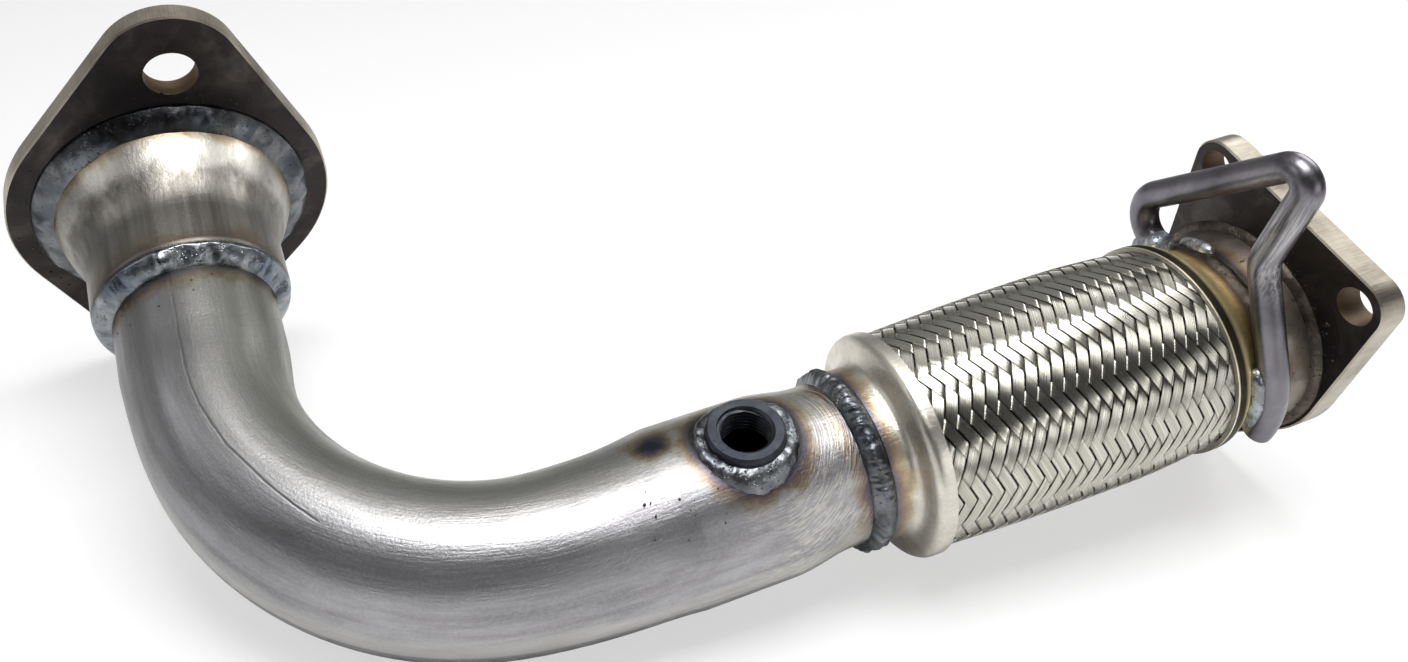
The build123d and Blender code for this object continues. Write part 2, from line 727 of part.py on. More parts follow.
# Weld between the outlet collar's neck and the outlet bell
with BuildPart() as outlet_neck_weld:
    with BuildSketch(outlet_profile):
        with BuildLine():
            seam_middle = outlet_neck_end + outlet_bell_start_gap / 2
            seam_floor = outlet_neck_radius - bead_lap
            seam_root = outlet_neck_radius - collar_wall
            seam_left = (seam_middle - neck_bead_half_width, seam_floor)
            seam_right = (seam_middle + neck_bead_half_width, seam_floor)
            left_rise = Line(seam_left, (seam_left[0], outlet_neck_radius))
            crown = ThreePointArc(
                left_rise @ 1,
                (seam_middle, outlet_neck_radius + neck_bead_height),
                (seam_right[0], outlet_neck_radius + neck_bead_height / 4),
            )
            Polyline(
                crown @ 1,
                seam_right,
                (bell_start, seam_floor),
                (bell_start, seam_root),
                (outlet_neck_end, seam_root),
                (outlet_neck_end, seam_floor),
                seam_left,
            )
        make_face()
    revolve(axis=outlet_axis)
    add(flex_outlet_collar.part, mode=Mode.SUBTRACT)
    add(outlet_bell.part, mode=Mode.SUBTRACT)
    add(hanger_rod.part, mode=Mode.SUBTRACT)
    add(hanger_upper_weld.part, mode=Mode.SUBTRACT)
outlet_neck_weld.part.label = "outlet_neck_weld"
export_step(outlet_neck_weld.part, "parts/outlet_neck_weld.step")
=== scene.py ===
# %% [markdown]
# # Exhaust front pipe, as it lies on a pale floor
# A bent stainless tube runs from a two-bolt flange to a braided flexible section, a three-bolt
# flange and a rod hanger. The packed CAD model gives every place and size. This script adds what
# CAD leaves out: the wires of the braid, the ripples and spatter of the welds, the sensor thread,
# and steel that looks rolled, brushed, heated and handled. Lengths are in metres.

# %% Load the frame
import json
import math
import random

import bpy
from mathutils import Matrix, Vector, noise


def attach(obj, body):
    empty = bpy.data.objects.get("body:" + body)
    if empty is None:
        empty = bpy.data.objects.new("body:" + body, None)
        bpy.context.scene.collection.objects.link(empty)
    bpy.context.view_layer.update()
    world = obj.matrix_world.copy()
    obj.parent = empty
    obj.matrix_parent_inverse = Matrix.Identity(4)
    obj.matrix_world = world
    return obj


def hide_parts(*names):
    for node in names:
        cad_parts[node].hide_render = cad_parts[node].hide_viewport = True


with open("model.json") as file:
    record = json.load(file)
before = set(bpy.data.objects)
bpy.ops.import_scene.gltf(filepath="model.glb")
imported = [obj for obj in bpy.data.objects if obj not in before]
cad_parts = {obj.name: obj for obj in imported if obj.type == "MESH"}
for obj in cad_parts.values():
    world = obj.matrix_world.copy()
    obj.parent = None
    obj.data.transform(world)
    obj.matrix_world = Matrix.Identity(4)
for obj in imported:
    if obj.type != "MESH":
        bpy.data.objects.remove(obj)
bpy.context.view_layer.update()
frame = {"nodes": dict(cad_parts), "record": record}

# %% [markdown]
# ## Where things are
# Both legs of the pipe lie in one plane, and the pipe lies at a slant on the floor, so places are
# told from the centre of the bend: x along the outlet leg, y back to the inlet flange, z out of
# the plane on the side of the sensor boss. The packed mounts hold the directions, so nothing is
# measured twice.

# %% Directions and places
bend_radius = 0.096
inlet_leg = 0.096
inlet_plate = 0.008
quarter_turn = bend_radius * math.pi / 2

mounts = {mount["name"]: mount for mount in frame["record"]["mounts"]}


def mount_axis(name):
    """The direction of a packed mount."""
    return Vector(mounts[name]["axis"]).normalized()


def mount_middle(name):
    """The middle of a packed mount."""
    return Vector(mounts[name]["pos_m"])


along_outlet = mount_axis("outlet_face")
back_to_inlet = mount_axis("inlet_bolts")
plane_up = along_outlet.cross(back_to_inlet).normalized()
pipe_axes = (tuple(along_outlet), tuple(back_to_inlet), tuple(plane_up))
inlet_plate_middle = mount_middle("inlet_bolts")
bend_centre = (
    inlet_plate_middle
    + along_outlet * bend_radius
    - back_to_inlet * (inlet_leg + inlet_plate / 2)
)
print("bend centre", tuple(round(v, 4) for v in bend_centre))


# %% Places on the legs and the boss
def spot(x, y, z=0.0):
    """A point told from the bend's centre."""
    return bend_centre + x * along_outlet + y * back_to_inlet + z * plane_up


def leg_matrix(origin, forward, side):
    """Turns a mesh made along its own x axis, with y to the side, onto a leg."""
    third = forward.cross(side)
    matrix = Matrix((forward, side, third)).transposed().to_4x4()
    matrix.translation = origin
    return matrix


def round_point(along, radius, angle):
    """A point on a ring round the x axis that a mesh is made along."""
    return (along, radius * math.cos(angle), radius * math.sin(angle))


outlet_leg_place = leg_matrix(spot(0, -bend_radius), along_outlet, back_to_inlet)
inlet_leg_place = leg_matrix(spot(-bend_radius, inlet_leg), -back_to_inlet, along_outlet)
boss_middle = mount_middle("sensor_thread")
boss_place = leg_matrix(boss_middle, mount_axis("sensor_thread"), along_outlet)
print("boss middle", tuple(round(v, 4) for v in boss_middle))

# %% [markdown]
# ## Helpers for node trees
# Materials and the braid are built from nodes. By hand each node is placed and joined in the
# editor, and in a script each would take four lines. A small class keeps that short: it adds a
# node, sets its options and feeds its sockets, so that a sum reads as one line.


# %% Node helper
class Graph:
    """Adds nodes to a tree and joins them."""

    def __init__(self, tree):
        self.tree = tree

    def add(self, kind, *values, **options):
        """A node with its options set and its first sockets fed."""
        node = self.tree.nodes.new(kind)
        for name, value in options.items():
            setattr(node, name, value)
        for socket, value in zip(node.inputs, values):
            self.feed(socket, value)
        return node

    def feed(self, socket, value):
        """Joins a socket to another or sets it; a colour may have three parts."""
        if isinstance(value, bpy.types.NodeSocket):
            self.tree.links.new(value, socket)
        elif socket.type == "RGBA" and len(value) == 3:
            socket.default_value = (*value, 1.0)
        else:
            socket.default_value = value

    def fill(self, node, values):
        """Feeds sockets by their names."""
        for name, value in values.items():
            self.feed(node.inputs[name], value)
        return node

    def make(self, kind, values, **options):
        """A node with sockets fed by name; gives its first output."""
        return self.fill(self.add(kind, **options), values).outputs[0]

    def calc(self, operation, first, *others):
        """One Math node, or a row of them that takes in one more value each."""
        if not others:
            return self.add("ShaderNodeMath", first, operation=operation).outputs[0]
        for value in others:
            first = self.add("ShaderNodeMath", first, value, operation=operation).outputs[0]
        return first

    def times(self, *values):
        return self.calc("MULTIPLY", *values)

    def plus(self, *values):
        return self.calc("ADD", *values)

    def minus(self, *values):
        return self.calc("SUBTRACT", *values)

    def over(self, *values):
        return self.calc("DIVIDE", *values)

    def held(self, value, low, high):
        """A value that stops at low and at high."""
        return self.calc("MINIMUM", self.calc("MAXIMUM", value, low), high)

    def vector(self, operation, *values):
        """One Vector Math node; gives its value output for lengths and dot products."""
        node = self.add("ShaderNodeVectorMath", *values, operation=operation)
        scalar = operation in ("DOT_PRODUCT", "LENGTH", "DISTANCE")
        return node.outputs["Value" if scalar else "Vector"]

    def combine(self, x, y, z):
        return self.add("ShaderNodeCombineXYZ", x, y, z).outputs[0]

    def parts(self, vector):
        """The three numbers of a vector."""
        return tuple(self.add("ShaderNodeSeparateXYZ", vector).outputs)

    def between(self, factor, low, high):
        """A plain number from low to high."""
        node = self.add("ShaderNodeMix", data_type="FLOAT")
        for index, value in ((0, factor), (2, low), (3, high)):
            self.feed(node.inputs[index], value)
        return node.outputs[0]

    def blend(self, factor, under, over, mode="MIX"):
        """Two colours by a factor."""
        node = self.add("ShaderNodeMix", data_type="RGBA", blend_type=mode)
        for index, value in ((0, factor), (6, under), (7, over)):
            self.feed(node.inputs[index], value)
        return node.outputs[2]

    def spread(self, value, low, high, to_low=0.0, to_high=1.0):
        """A range mapped to another and held at its ends."""
        node = self.add("ShaderNodeMapRange", value, low, high, to_low, to_high, clamp=True)
        return node.outputs[0]

    def ramp(self, value, *stops):
        """Colours or greys at places from 0 to 1."""
        node = self.add("ShaderNodeValToRGB", value)
        elements = node.color_ramp.elements
        while len(elements) < len(stops):
            elements.new(1.0)
        for element, (place, tone) in zip(elements, stops):
            element.position = place
            element.color = (*tone, 1.0) if isinstance(tone, tuple) else (tone, tone, tone, 1.0)
        return node.outputs[0]

    def noise(self, vector, scale, detail=3.0, roughness=0.5, distortion=0.0):
        """Smooth noise about one half, with the number of features in a metre as its scale."""
        values = {"Vector": vector, "Scale": scale, "Detail": detail, "Roughness": roughness}
        return self.make("ShaderNodeTexNoise", {**values, "Distortion": distortion})

    def spots(self, vector, scale):
        """Distance to scattered points."""
        return self.make("ShaderNodeTexVoronoi", {"Vector": vector, "Scale": scale})

    def bump(self, height, distance, strength):
        """A normal that follows a height."""
        values = {"Height": height, "Distance": distance, "Strength": strength}
        return self.make("ShaderNodeBump", values)

    def here(self):
        """The place on the piece, in metres."""
        return self.add("ShaderNodeTexCoord").outputs["Object"]

    def away_from(self, place):
        """The distance to a place, in metres."""
        return self.vector("DISTANCE", self.here(), tuple(place))

    def facing(self, axis):
        """How much the surface faces an axis: 1 along it, -1 against it."""
        normal = self.add("ShaderNodeNewGeometry").outputs["True Normal"]
        return self.vector("DOT_PRODUCT", normal, tuple(axis))


print("node helper with", len([name for name in vars(Graph) if name[0] != "_"]), "methods")

# %% [markdown]
# Every metal has one Principled shader, whose sockets take a tone, a roughness and a normal. An
# effect that several metals share is a group with named inputs and outputs, made once and placed
# in each. Colours are written as they look on screen, since that is how the eye judges them.


# %% Colours, groups and metals
def colour(red, green, blue):
    """A colour from 0 to 255 as it looks on screen, in the linear light that nodes take."""
    linear = []
    for part in (red, green, blue):
        part /= 255
        linear.append(part / 12.92 if part <= 0.04045 else ((part + 0.055) / 1.055) ** 2.4)
    return tuple(linear)


def shade(tint, factor):
    """A colour made lighter or darker."""
    return tuple(min(1.0, part * factor) for part in tint)


def new_group(name, inputs, outputs):
    """A shader node group that takes values; gives its tree, graph, inputs and output node."""
    tree = bpy.data.node_groups.new(name, "ShaderNodeTree")
    for label, value in inputs.items():
        socket = tree.interface.new_socket(label, in_out="INPUT", socket_type="NodeSocketFloat")
        socket.default_value = value
    for label, kind in outputs.items():
        tree.interface.new_socket(label, in_out="OUTPUT", socket_type="NodeSocket" + kind)
    graph = Graph(tree)
    return tree, graph, graph.add("NodeGroupInput").outputs, graph.add("NodeGroupOutput")


def use_group(graph, tree, **inputs):
    """Puts a group into a material and gives its outputs by name."""
    node = graph.fill(graph.add("ShaderNodeGroup", node_tree=tree), inputs)
    return {output.name: output for output in node.outputs}


def new_metal(name, tint):
    """A bare metal with one Principled shader; gives the material, its graph and the shader."""
    material = bpy.data.materials.new(name)
    material.use_nodes = True
    graph = Graph(material.node_tree)
    shader = material.node_tree.nodes["Principled BSDF"]
    graph.fill(shader, {"Base Color": tint, "Metallic": 1.0})
    return material, graph, shader


def finish_metal(graph, shader, tone, roughness, normal):
    """Feeds the three sockets that every metal here has in common."""
    graph.fill(shader, {"Base Color": tone, "Roughness": roughness, "Normal": normal})


print("screen grey 128 is", round(colour(128, 128, 128)[0], 3), "in linear light")

# %% [markdown]
# ## Effects that several metals share
# A tube is rolled and drawn lengthwise, so its marks run along it and turn with the bend. A
# texture painted on an unwrapped tube could do that, but a group that unbends the pipe keeps the
# pattern sharp at any distance and needs no picture. It gives how far along a point is, where it
# is across the pipe and round it, and whether its face looks out of the pipe or into it.


# %% Group: place along and across the pipe
def make_pipe_place():
    labels = ("Along", "Across", "Up", "Around", "Outward")
    tree, g, _, out = new_group("pipe_place", {}, dict.fromkeys(labels, "Float"))
    rel = g.vector("SUBTRACT", g.here(), tuple(bend_centre))
    x, y, z = (g.vector("DOT_PRODUCT", rel, axis) for axis in pipe_axes)
    face_x, face_y, face_z = (g.facing(axis) for axis in pipe_axes)
    in_inlet = g.calc("GREATER_THAN", y, 0.0)
    in_outlet = g.calc("GREATER_THAN", x, 0.0)

    def by_part(inlet, outlet, bend):
        """One of three values, by the part of the pipe that the point is on."""
        return g.between(in_inlet, g.between(in_outlet, bend, outlet), inlet)

    forward_x, forward_y = g.times(x, -1.0), g.times(y, -1.0)
    angle = g.calc("ARCTAN2", forward_y, forward_x)
    reach = g.vector("LENGTH", g.combine(x, y, 0.0))
    along = by_part(forward_y, g.plus(x, quarter_turn), g.times(angle, bend_radius))
    across = by_part(g.plus(x, bend_radius), g.plus(y, bend_radius), g.minus(bend_radius, reach))
    to_centre = g.plus(g.times(x, face_x), g.times(y, face_y))
    inward = by_part(face_x, face_y, g.over(g.times(to_centre, -1.0), reach))
    outward = g.plus(g.times(across, inward), g.times(z, face_z))
    around = g.calc("ARCTAN2", z, across)
    g.fill(out, dict(zip(labels, (along, across, z, around, outward))))
    return tree


pipe_place = make_pipe_place()
print("group", pipe_place.name)


def stretched(g, place, factor):
    """A point with its place along the pipe shrunk, which draws a pattern out that way."""
    return g.combine(g.times(place["Along"], factor), place["Across"], place["Up"])


# %% [markdown]
# Heat beside a weld colours stainless steel in bands: blue-grey next to the bead, then
# purple-brown and straw. A ramp over the distance gives them, and noise moves their edges, as no
# real band is even.


# %% Group: heat colours beside a weld
def make_heat_tint():
    tree, g, given, out = new_group(
        "heat_tint", {"Distance": 0.1, "Reach": 0.012}, {"Colour": "Color", "Mask": "Float"}
    )
    shift = g.spread(g.noise(g.here(), 75.0, 4.0, 0.65), 0.32, 0.68, 0.45, 1.6)
    share = g.over(given["Distance"], g.times(given["Reach"], shift))
    bands = g.ramp(
        share,
        (0.00, colour(96, 92, 92)),
        (0.08, colour(122, 122, 140)),
        (0.18, colour(142, 122, 124)),
        (0.30, colour(170, 138, 106)),
        (0.55, colour(214, 192, 150)),
        (1.00, colour(236, 230, 214)),
    )
    mask = g.ramp(share, (0.0, 0.95), (0.2, 0.85), (0.5, 0.7), (1.0, 0.0))
    g.fill(out, {"Colour": bands, "Mask": mask})
    return tree


heat_tint = make_heat_tint()
print("group", heat_tint.name)


def heated(g, base, distance, reach):
    """A colour with heat bands over it, out to a reach from a weld."""
    tint = use_group(g, heat_tint, Distance=distance, Reach=reach)
    return g.blend(tint["Mask"], base, tint["Colour"], "MULTIPLY")


# %% [markdown]
# Rolled sheet has fine grain, broader streaks and cloudy patches, all drawn out along the pipe.
# Handling leaves short scratches in any direction and a few dark pits. Noise gives the first
# three. For the last two, distances to scattered points are cheaper and keep hard edges.


# %% Group: grain along the pipe
def make_drawn_grain():
    tree, g, given, out = new_group(
        "drawn_grain",
        {"Along": 0.0, "Across": 0.0, "Up": 0.0},
        {"Fine": "Float", "Broad": "Float", "Cloud": "Float"},
    )
    lines = g.noise(stretched(g, given, 0.05), 1500.0, 3.0, 0.6)
    sandy = g.noise(stretched(g, given, 1.0), 1100.0, 4.0, 0.65)
    broad = g.noise(stretched(g, given, 0.12), 170.0, 4.0, 0.6)
    cloud = g.noise(stretched(g, given, 0.45), 46.0, 6.0, 0.62, 0.5)
    g.fill(out, {"Fine": g.between(0.6, lines, sandy), "Broad": broad, "Cloud": cloud})
    return tree


drawn_grain = make_drawn_grain()
print("group", drawn_grain.name)


# %% Group: scratches and pits
def make_handling_marks():
    tree, g, _, out = new_group("handling_marks", {}, {"Scratches": "Float", "Pits": "Float"})
    here = g.here()
    scratches = []
    for turn, scale, offset in ((0.4, 60.0, 0.0), (1.9, 75.0, 0.31), (2.8, 90.0, 0.77)):
        values = {
            "Vector": here,
            "Location": (offset, offset, 0.0),
            "Rotation": (turn, turn * 0.7, turn * 1.3),
            "Scale": (1.0, 0.05, 1.0),
        }
        strokes = g.spots(g.make("ShaderNodeMapping", values), scale)
        scratches.append(g.spread(strokes, 0.006, 0.016, 1.0, 0.0))
    dots = g.spread(g.spots(here, 420.0), 0.07, 0.16, 1.0, 0.0)
    pits = g.times(dots, g.spread(g.noise(here, 60.0), 0.66, 0.72))
    g.fill(out, {"Scratches": g.calc("MAXIMUM", *scratches), "Pits": pits})
    return tree


handling_marks = make_handling_marks()
print("group", handling_marks.name)

# %% [markdown]
# ## Pipe steel
# The tube, the bells and the pressed collars are the same kind of stainless sheet, so one
# function makes them all. It is told where the welds are along the pipe, and how dark, how
# rough and how cloudy that piece is. Each weld tints the steel on both sides. Faces that look
# into the pipe are darkened with painted shade and made dull.

# %% Pipe steel
inlet_flange_weld_at = -inlet_leg
bell_weld_at = -0.0385
collar_weld_at = quarter_turn + 0.0955
neck_weld_at = quarter_turn + 0.2419
half_bead = 0.0035
dull_roughness = 0.62


def pipe_steel(name, tint, rough, welds=(), cloud=0.5, stain=None, extra=None, streak=1.0):
    """Sheet steel; extra adds one piece's own marks and painted light, from its colour and height
    so far.
    """
    material, g, shader = new_metal(name, tint)
    place = use_group(g, pipe_place)
    along_pipe = {label: place[label] for label in ("Along", "Across", "Up")}
    grain = use_group(g, drawn_grain, **along_pipe)
    marks = use_group(g, handling_marks)
    clouds = g.spread(grain["Cloud"], 0.36, 0.66, 0.0, cloud)
    streaks = g.spread(grain["Broad"], 0.42, 0.62, 0.0, 0.45 * streak)
    glints = g.spread(grain["Fine"], 0.44, 0.62, 0.0, 0.3)
    base = g.blend(clouds, shade(tint, 1.1), shade(tint, 0.5))
    base = g.blend(streaks, base, shade(tint, 0.45))
    base = g.blend(glints, base, shade(tint, 1.35))
    if stain:
        patchy = g.spread(g.noise(g.here(), 46.0, 5.0, 0.65), 0.44, 0.64, 0.0, 0.8)
        base = g.blend(patchy, base, stain)
    for weld_at, reach in welds:
        far = g.calc("ABSOLUTE", g.minus(place["Along"], weld_at))
        base = heated(g, base, g.minus(far, half_bead), reach)
    height = g.plus(g.times(grain["Fine"], 1.3), g.times(grain["Broad"], 0.9 * streak))
    if extra:
        base, height = extra(g, place, base, height)
    base = g.blend(g.times(marks["Pits"], 0.75), base, (0.05, 0.045, 0.04))
    base = g.blend(g.times(marks["Scratches"], 0.35), base, (0.85, 0.85, 0.84))
    height = g.minus(height, g.times(marks["Scratches"], 0.8), marks["Pits"])
    # Faces that look into the pipe are darkened with painted shade and made dull.
    inside = g.spread(place["Outward"], -0.002, 0.002, 1.0, 0.0)
    painted_inner_shade = g.blend(grain["Cloud"], colour(38, 35, 33), colour(84, 78, 72))
    roughness = g.spread(grain["Cloud"], 0.3, 0.7, rough, rough + 0.14)
    roughness = g.plus(roughness, g.spread(grain["Broad"], 0.35, 0.65, -0.03, 0.06))
    finish_metal(
        g,
        shader,
        g.blend(inside, base, painted_inner_shade),
        g.between(inside, roughness, dull_roughness),
        g.bump(height, 0.00016, 0.8),
    )
    return material


inner_steel = pipe_steel("inner_steel", colour(96, 92, 88), 0.45)
print("made", inner_steel.name)

# %% [markdown]
# The tube shows how it was made. A dark rolled seam drifts round it and ends in the bend. The
# outside of the bend gets a cooler painted reflection tint than the inside, the inlet leg is
# darkened with painted shade, and pale bands painted low down stand for the floor's reflection.
# Near the boss it was sanded in arcs, and welding left heat colours and a burnt spot. Each is a
# mask from the unbent place or from the distance to a point, laid over the plain steel.

# %% Marks and painted light on the tube
burnt_turn = math.radians(66)
burnt_along, burnt_radius = 0.1815 - quarter_turn, 0.0298
burnt_spot = spot(
    burnt_along,
    burnt_radius * math.cos(burnt_turn) - bend_radius,
    burnt_radius * math.sin(burnt_turn),
)


def rolled_seam(g, place, base, height):
    """A thin groove, dark in the middle, that drifts round the tube."""
    past = g.calc("MAXIMUM", g.minus(place["Along"], 0.045), 0.0)
    seam_at = g.plus(g.times(past, past, 110.0), math.radians(97))
    seam_at = g.plus(seam_at, g.spread(g.noise(g.here(), 60.0), 0.3, 0.7, -0.012, 0.012))
    off = g.calc("ABSOLUTE", g.minus(place["Around"], seam_at))
    line = g.times(
        g.spread(off, 0.002, 0.020, 1.0, 0.0),
        g.spread(place["Along"], 0.072, 0.080, 1.0, 0.0),
        g.spread(place["Along"], -0.030, 0.030, 0.25, 1.0),
    )
    height = g.minus(height, g.times(line, 0.9))
    return g.blend(g.times(line, 0.7), base, colour(74, 72, 74)), height


def painted_light_on_tube(g, place, base):
    """Painted light on the tube: a reflection tint by side, painted shade on the inlet leg, and
    pale bands painted low down.
    """
    # Painted reflection tint: warmer on the inside of the bend, cooler on the outside.
    facing_in = g.spread(g.calc("COSINE", place["Around"]), -0.3, 0.5)
    painted_reflection_tint = g.blend(facing_in, colour(251, 249, 255), colour(250, 250, 241))
    base = g.blend(1.0, base, painted_reflection_tint, "MULTIPLY")
    bands = g.spread(g.noise(stretched(g, place, 0.02), 95.0, 2.0, 0.5), 0.40, 0.60, 0.75, 1.0)
    # Painted shade dims the inlet leg and the start of the bend, in streaky bands.
    painted_leg_shade = g.times(g.spread(place["Along"], -0.020, 0.090, 0.50, 0.0), bands)
    base = g.blend(painted_leg_shade, base, colour(72, 72, 68))
    # Pale streaks painted only on the underside, a painted reflection of the floor.
    low = g.spread(g.calc("SINE", place["Around"]), -0.1, 0.4, 1.0, 0.0)
    drawn = g.spread(g.noise(stretched(g, place, 0.015), 150.0, 1.0, 0.5), 0.48, 0.54)
    return g.blend(g.times(low, drawn, 0.5), base, colour(214, 213, 204))


def sanded_patch(g, place, base, height):
    """Fine bright arcs round the boss."""
    from_boss = g.away_from(boss_middle)
    arcs = g.combine(from_boss, g.times(place["Along"], 0.12), g.times(place["Up"], 0.12))
    arcs = g.noise(arcs, 1900.0, 3.0, 0.6)
    sanded = g.times(
        g.spread(from_boss, 0.017, 0.024),
        g.spread(place["Along"], 0.196, 0.214),
        g.spread(g.noise(g.here(), 30.0), 0.38, 0.55),
    )
    bright = g.times(sanded, g.spread(arcs, 0.45, 0.6, 0.0, 0.45))
    height = g.plus(height, g.times(arcs, sanded, 1.2))
    return g.blend(bright, base, colour(222, 217, 206)), height


def tube_marks(g, place, base, height):
    """All that the tube alone has, and the painted light on it."""
    base, height = rolled_seam(g, place, base, height)
    base = painted_light_on_tube(g, place, base)
    base, height = sanded_patch(g, place, base, height)
    for centre, start, reach in ((boss_middle, 0.0175, 0.0065), (burnt_spot, 0.0015, 0.009)):
        base = heated(g, base, g.minus(g.away_from(centre), start), reach)
    dark = g.spread(g.away_from(burnt_spot), 0.003, 0.0075, 0.85, 0.0)
    dark = g.times(dark, g.spread(g.noise(g.here(), 160.0, 4.0), 0.36, 0.58))
    return g.blend(dark, base, colour(44, 46, 56)), height


print("burnt spot", tuple(round(v, 4) for v in burnt_spot))

# %% [markdown]
# The other pieces of sheet differ less. The inlet bell has painted shade on its neck below its
# bright dome. The flexible section's outlet collar has a painted highlight on its lip, painted
# shade in the crease just past the lip where the braid ends, and a straw-coloured flare. The
# outlet bell is stained brown by heat.

# %% Painted light on the bell and the lip, and all sheet metals
lip_start, lip_end = 0.115, 0.2238


def bell_neck_shade(g, place, base, height):
    """Painted shade on the neck below the bright dome, lighter along lengthwise streak lines."""
    lines = g.noise(stretched(g, place, 0.06), 170.0, 4.0, 0.6)
    ragged = g.spread(g.noise(g.here(), 120.0, 4.0), 0.3, 0.7, -0.0035, 0.0035)
    neck = g.spread(g.plus(place["Along"], ragged), -0.0805, -0.0745)
    # Painted shade on the neck, lightened along the streak lines.
    painted_neck_shade = g.times(neck, g.spread(lines, 0.36, 0.62, 0.92, 0.6))
    return g.blend(painted_neck_shade, base, colour(88, 85, 79)), height


def outlet_lip(g, place, base, height):
    """The outlet lip: a painted highlight on its edge, then painted shade in the crease where the
    flare begins.
    """
    lip = g.minus(place["Along"], quarter_turn + lip_end)
    # Painted shade in the crease just past the lip.
    painted_crease_shade = g.times(g.spread(lip, 0.0003, 0.0008), g.spread(lip, 0.0032, 0.0050, 1.0, 0.0))
    base = g.blend(g.times(painted_crease_shade, 0.97), base, (0.006, 0.006, 0.006))
    # Painted highlight: a thin bright line on the lip's edge.
    bare = g.spread(lip, 0.0002, 0.0005, 0.9, 0.0)
    return g.blend(bare, base, colour(232, 230, 222)), height


tube_steel = pipe_steel(
    "tube_steel",
    colour(164, 164, 163),
    0.33,
    [(bell_weld_at, 0.008), (collar_weld_at, 0.008)],
    extra=tube_marks,
)
bell_steel = pipe_steel(
    "bell_steel",
    colour(182, 179, 172),
    0.30,
    [(inlet_flange_weld_at, 0.008), (bell_weld_at, 0.010)],
    cloud=0.6,
    extra=bell_neck_shade,
    streak=0.8,
)
collar_steel = pipe_steel(
    "collar_steel", colour(204, 200, 190), 0.30, [(collar_weld_at, 0.008)], cloud=0.3, streak=0.5
)
outlet_collar_steel = pipe_steel(
    "outlet_collar_steel",
    colour(250, 226, 176),
    0.42,
    [(neck_weld_at, 0.0045)],
    cloud=0.2,
    extra=outlet_lip,
    streak=0.4,
)
outlet_bell_steel = pipe_steel(
    "outlet_bell_steel",
    colour(134, 127, 118),
    0.40,
    [(neck_weld_at, 0.004)],
    stain=colour(92, 80, 70),
    streak=0.3,
)
print("sheet metals made, the last is", outlet_bell_steel.name)

# %% [markdown]
# ## Plate steel
# The flanges are cut from hot-rolled plate: the faces keep a dark brown-black scale, the cut
# edges are bare and pale with grain across them, and the hole walls are brown. One material
# tells them apart by the way a face looks and by how near it is to a hole's axis, so the CAD
# mesh needs no second slot. A dark patch lies at one place on the inlet flange weld.

# %% Plate steel
dark_patch_at = inlet_leg_place @ Vector((0.003, 0.004, 0.049))


def dark_patch_mask(g):
    """1 at a dark patch on the inlet flange weld and the plate round it, with a ragged edge."""
    ragged = g.spread(g.noise(g.here(), 70.0, 5.0), 0.3, 0.7, -0.01, 0.01)
    return g.spread(g.plus(g.away_from(dark_patch_at), ragged), 0.014, 0.036, 0.85, 0.0)


def near_holes(g, axis, holes, hole_radius):
    """1 near the axis of a hole, 0 elsewhere."""
    near = []
    for hole in holes:
        away = g.vector("SUBTRACT", g.here(), tuple(hole))
        rise = g.vector("DOT_PRODUCT", away, tuple(axis))
        square = g.minus(g.vector("DOT_PRODUCT", away, away), g.times(rise, rise))
        near.append(g.calc("LESS_THAN", g.calc("SQRT", square), hole_radius * 1.12))
    return g.calc("MAXIMUM", *near)


def scaled_face(g, cloud, small):
    """The colours of the scale on a plate's faces."""
    skin = g.ramp(
        cloud,
        (0.30, colour(34, 31, 31)),
        (0.50, colour(50, 45, 44)),
        (0.62, colour(70, 64, 61)),
        (0.76, colour(94, 87, 82)),
    )
    skin = g.blend(g.spread(small, 0.45, 0.7, 0.0, 0.4), skin, colour(44, 40, 40))
    return g.blend(dark_patch_mask(g), skin, colour(24, 22, 23))


def cut_edge(g, axis):
    """The grain across a cut edge and its colours."""
    here = g.here()
    depth = g.vector("DOT_PRODUCT", here, tuple(axis))
    along_axis = g.vector("MULTIPLY", g.combine(depth, depth, depth), tuple(axis))
    flat = g.vector("SUBTRACT", here, along_axis)
    drawn = g.vector("ADD", flat, g.combine(0.0, 0.0, g.times(depth, 0.05)))
    grain = g.noise(drawn, 2600.0, 2.0)
    worn = g.noise(here, 30.0, 4.0, 0.6)
    edge = g.ramp(
        g.plus(g.times(grain, 0.2), g.times(worn, 0.8)),
        (0.36, colour(112, 106, 96)),
        (0.48, colour(158, 151, 138)),
        (0.62, colour(186, 179, 166)),
    )
    return grain, edge


def plate_steel(name, axis, holes, hole_radius):
    """Plate with scaled faces, bare edges and brown hole walls."""
    material, g, shader = new_metal(name, colour(176, 170, 156))
    face = g.spread(g.calc("ABSOLUTE", g.facing(axis)), 0.86, 0.95)
    cloud = g.noise(g.here(), 42.0, 6.0, 0.62, 0.6)
    small = g.noise(g.here(), 260.0, 4.0, 0.6)
    cut_grain, edge = cut_edge(g, axis)
    wall = near_holes(g, axis, holes, hole_radius)
    edge = g.blend(wall, edge, colour(112, 96, 78))
    bare = g.between(wall, 0.40, dull_roughness)
    skin_height = g.plus(small, g.times(cloud, 0.6))
    height = g.between(face, g.times(cut_grain, 0.5), skin_height)
    g.fill(shader, {"Metallic": g.between(face, 1.0, 0.75)})
    finish_metal(
        g,
        shader,
        g.blend(face, edge, scaled_face(g, cloud, small)),
        g.between(face, bare, g.spread(cloud, 0.3, 0.7, 0.52, 0.38)),
        g.bump(height, 0.00014, 0.7),
    )
    return material


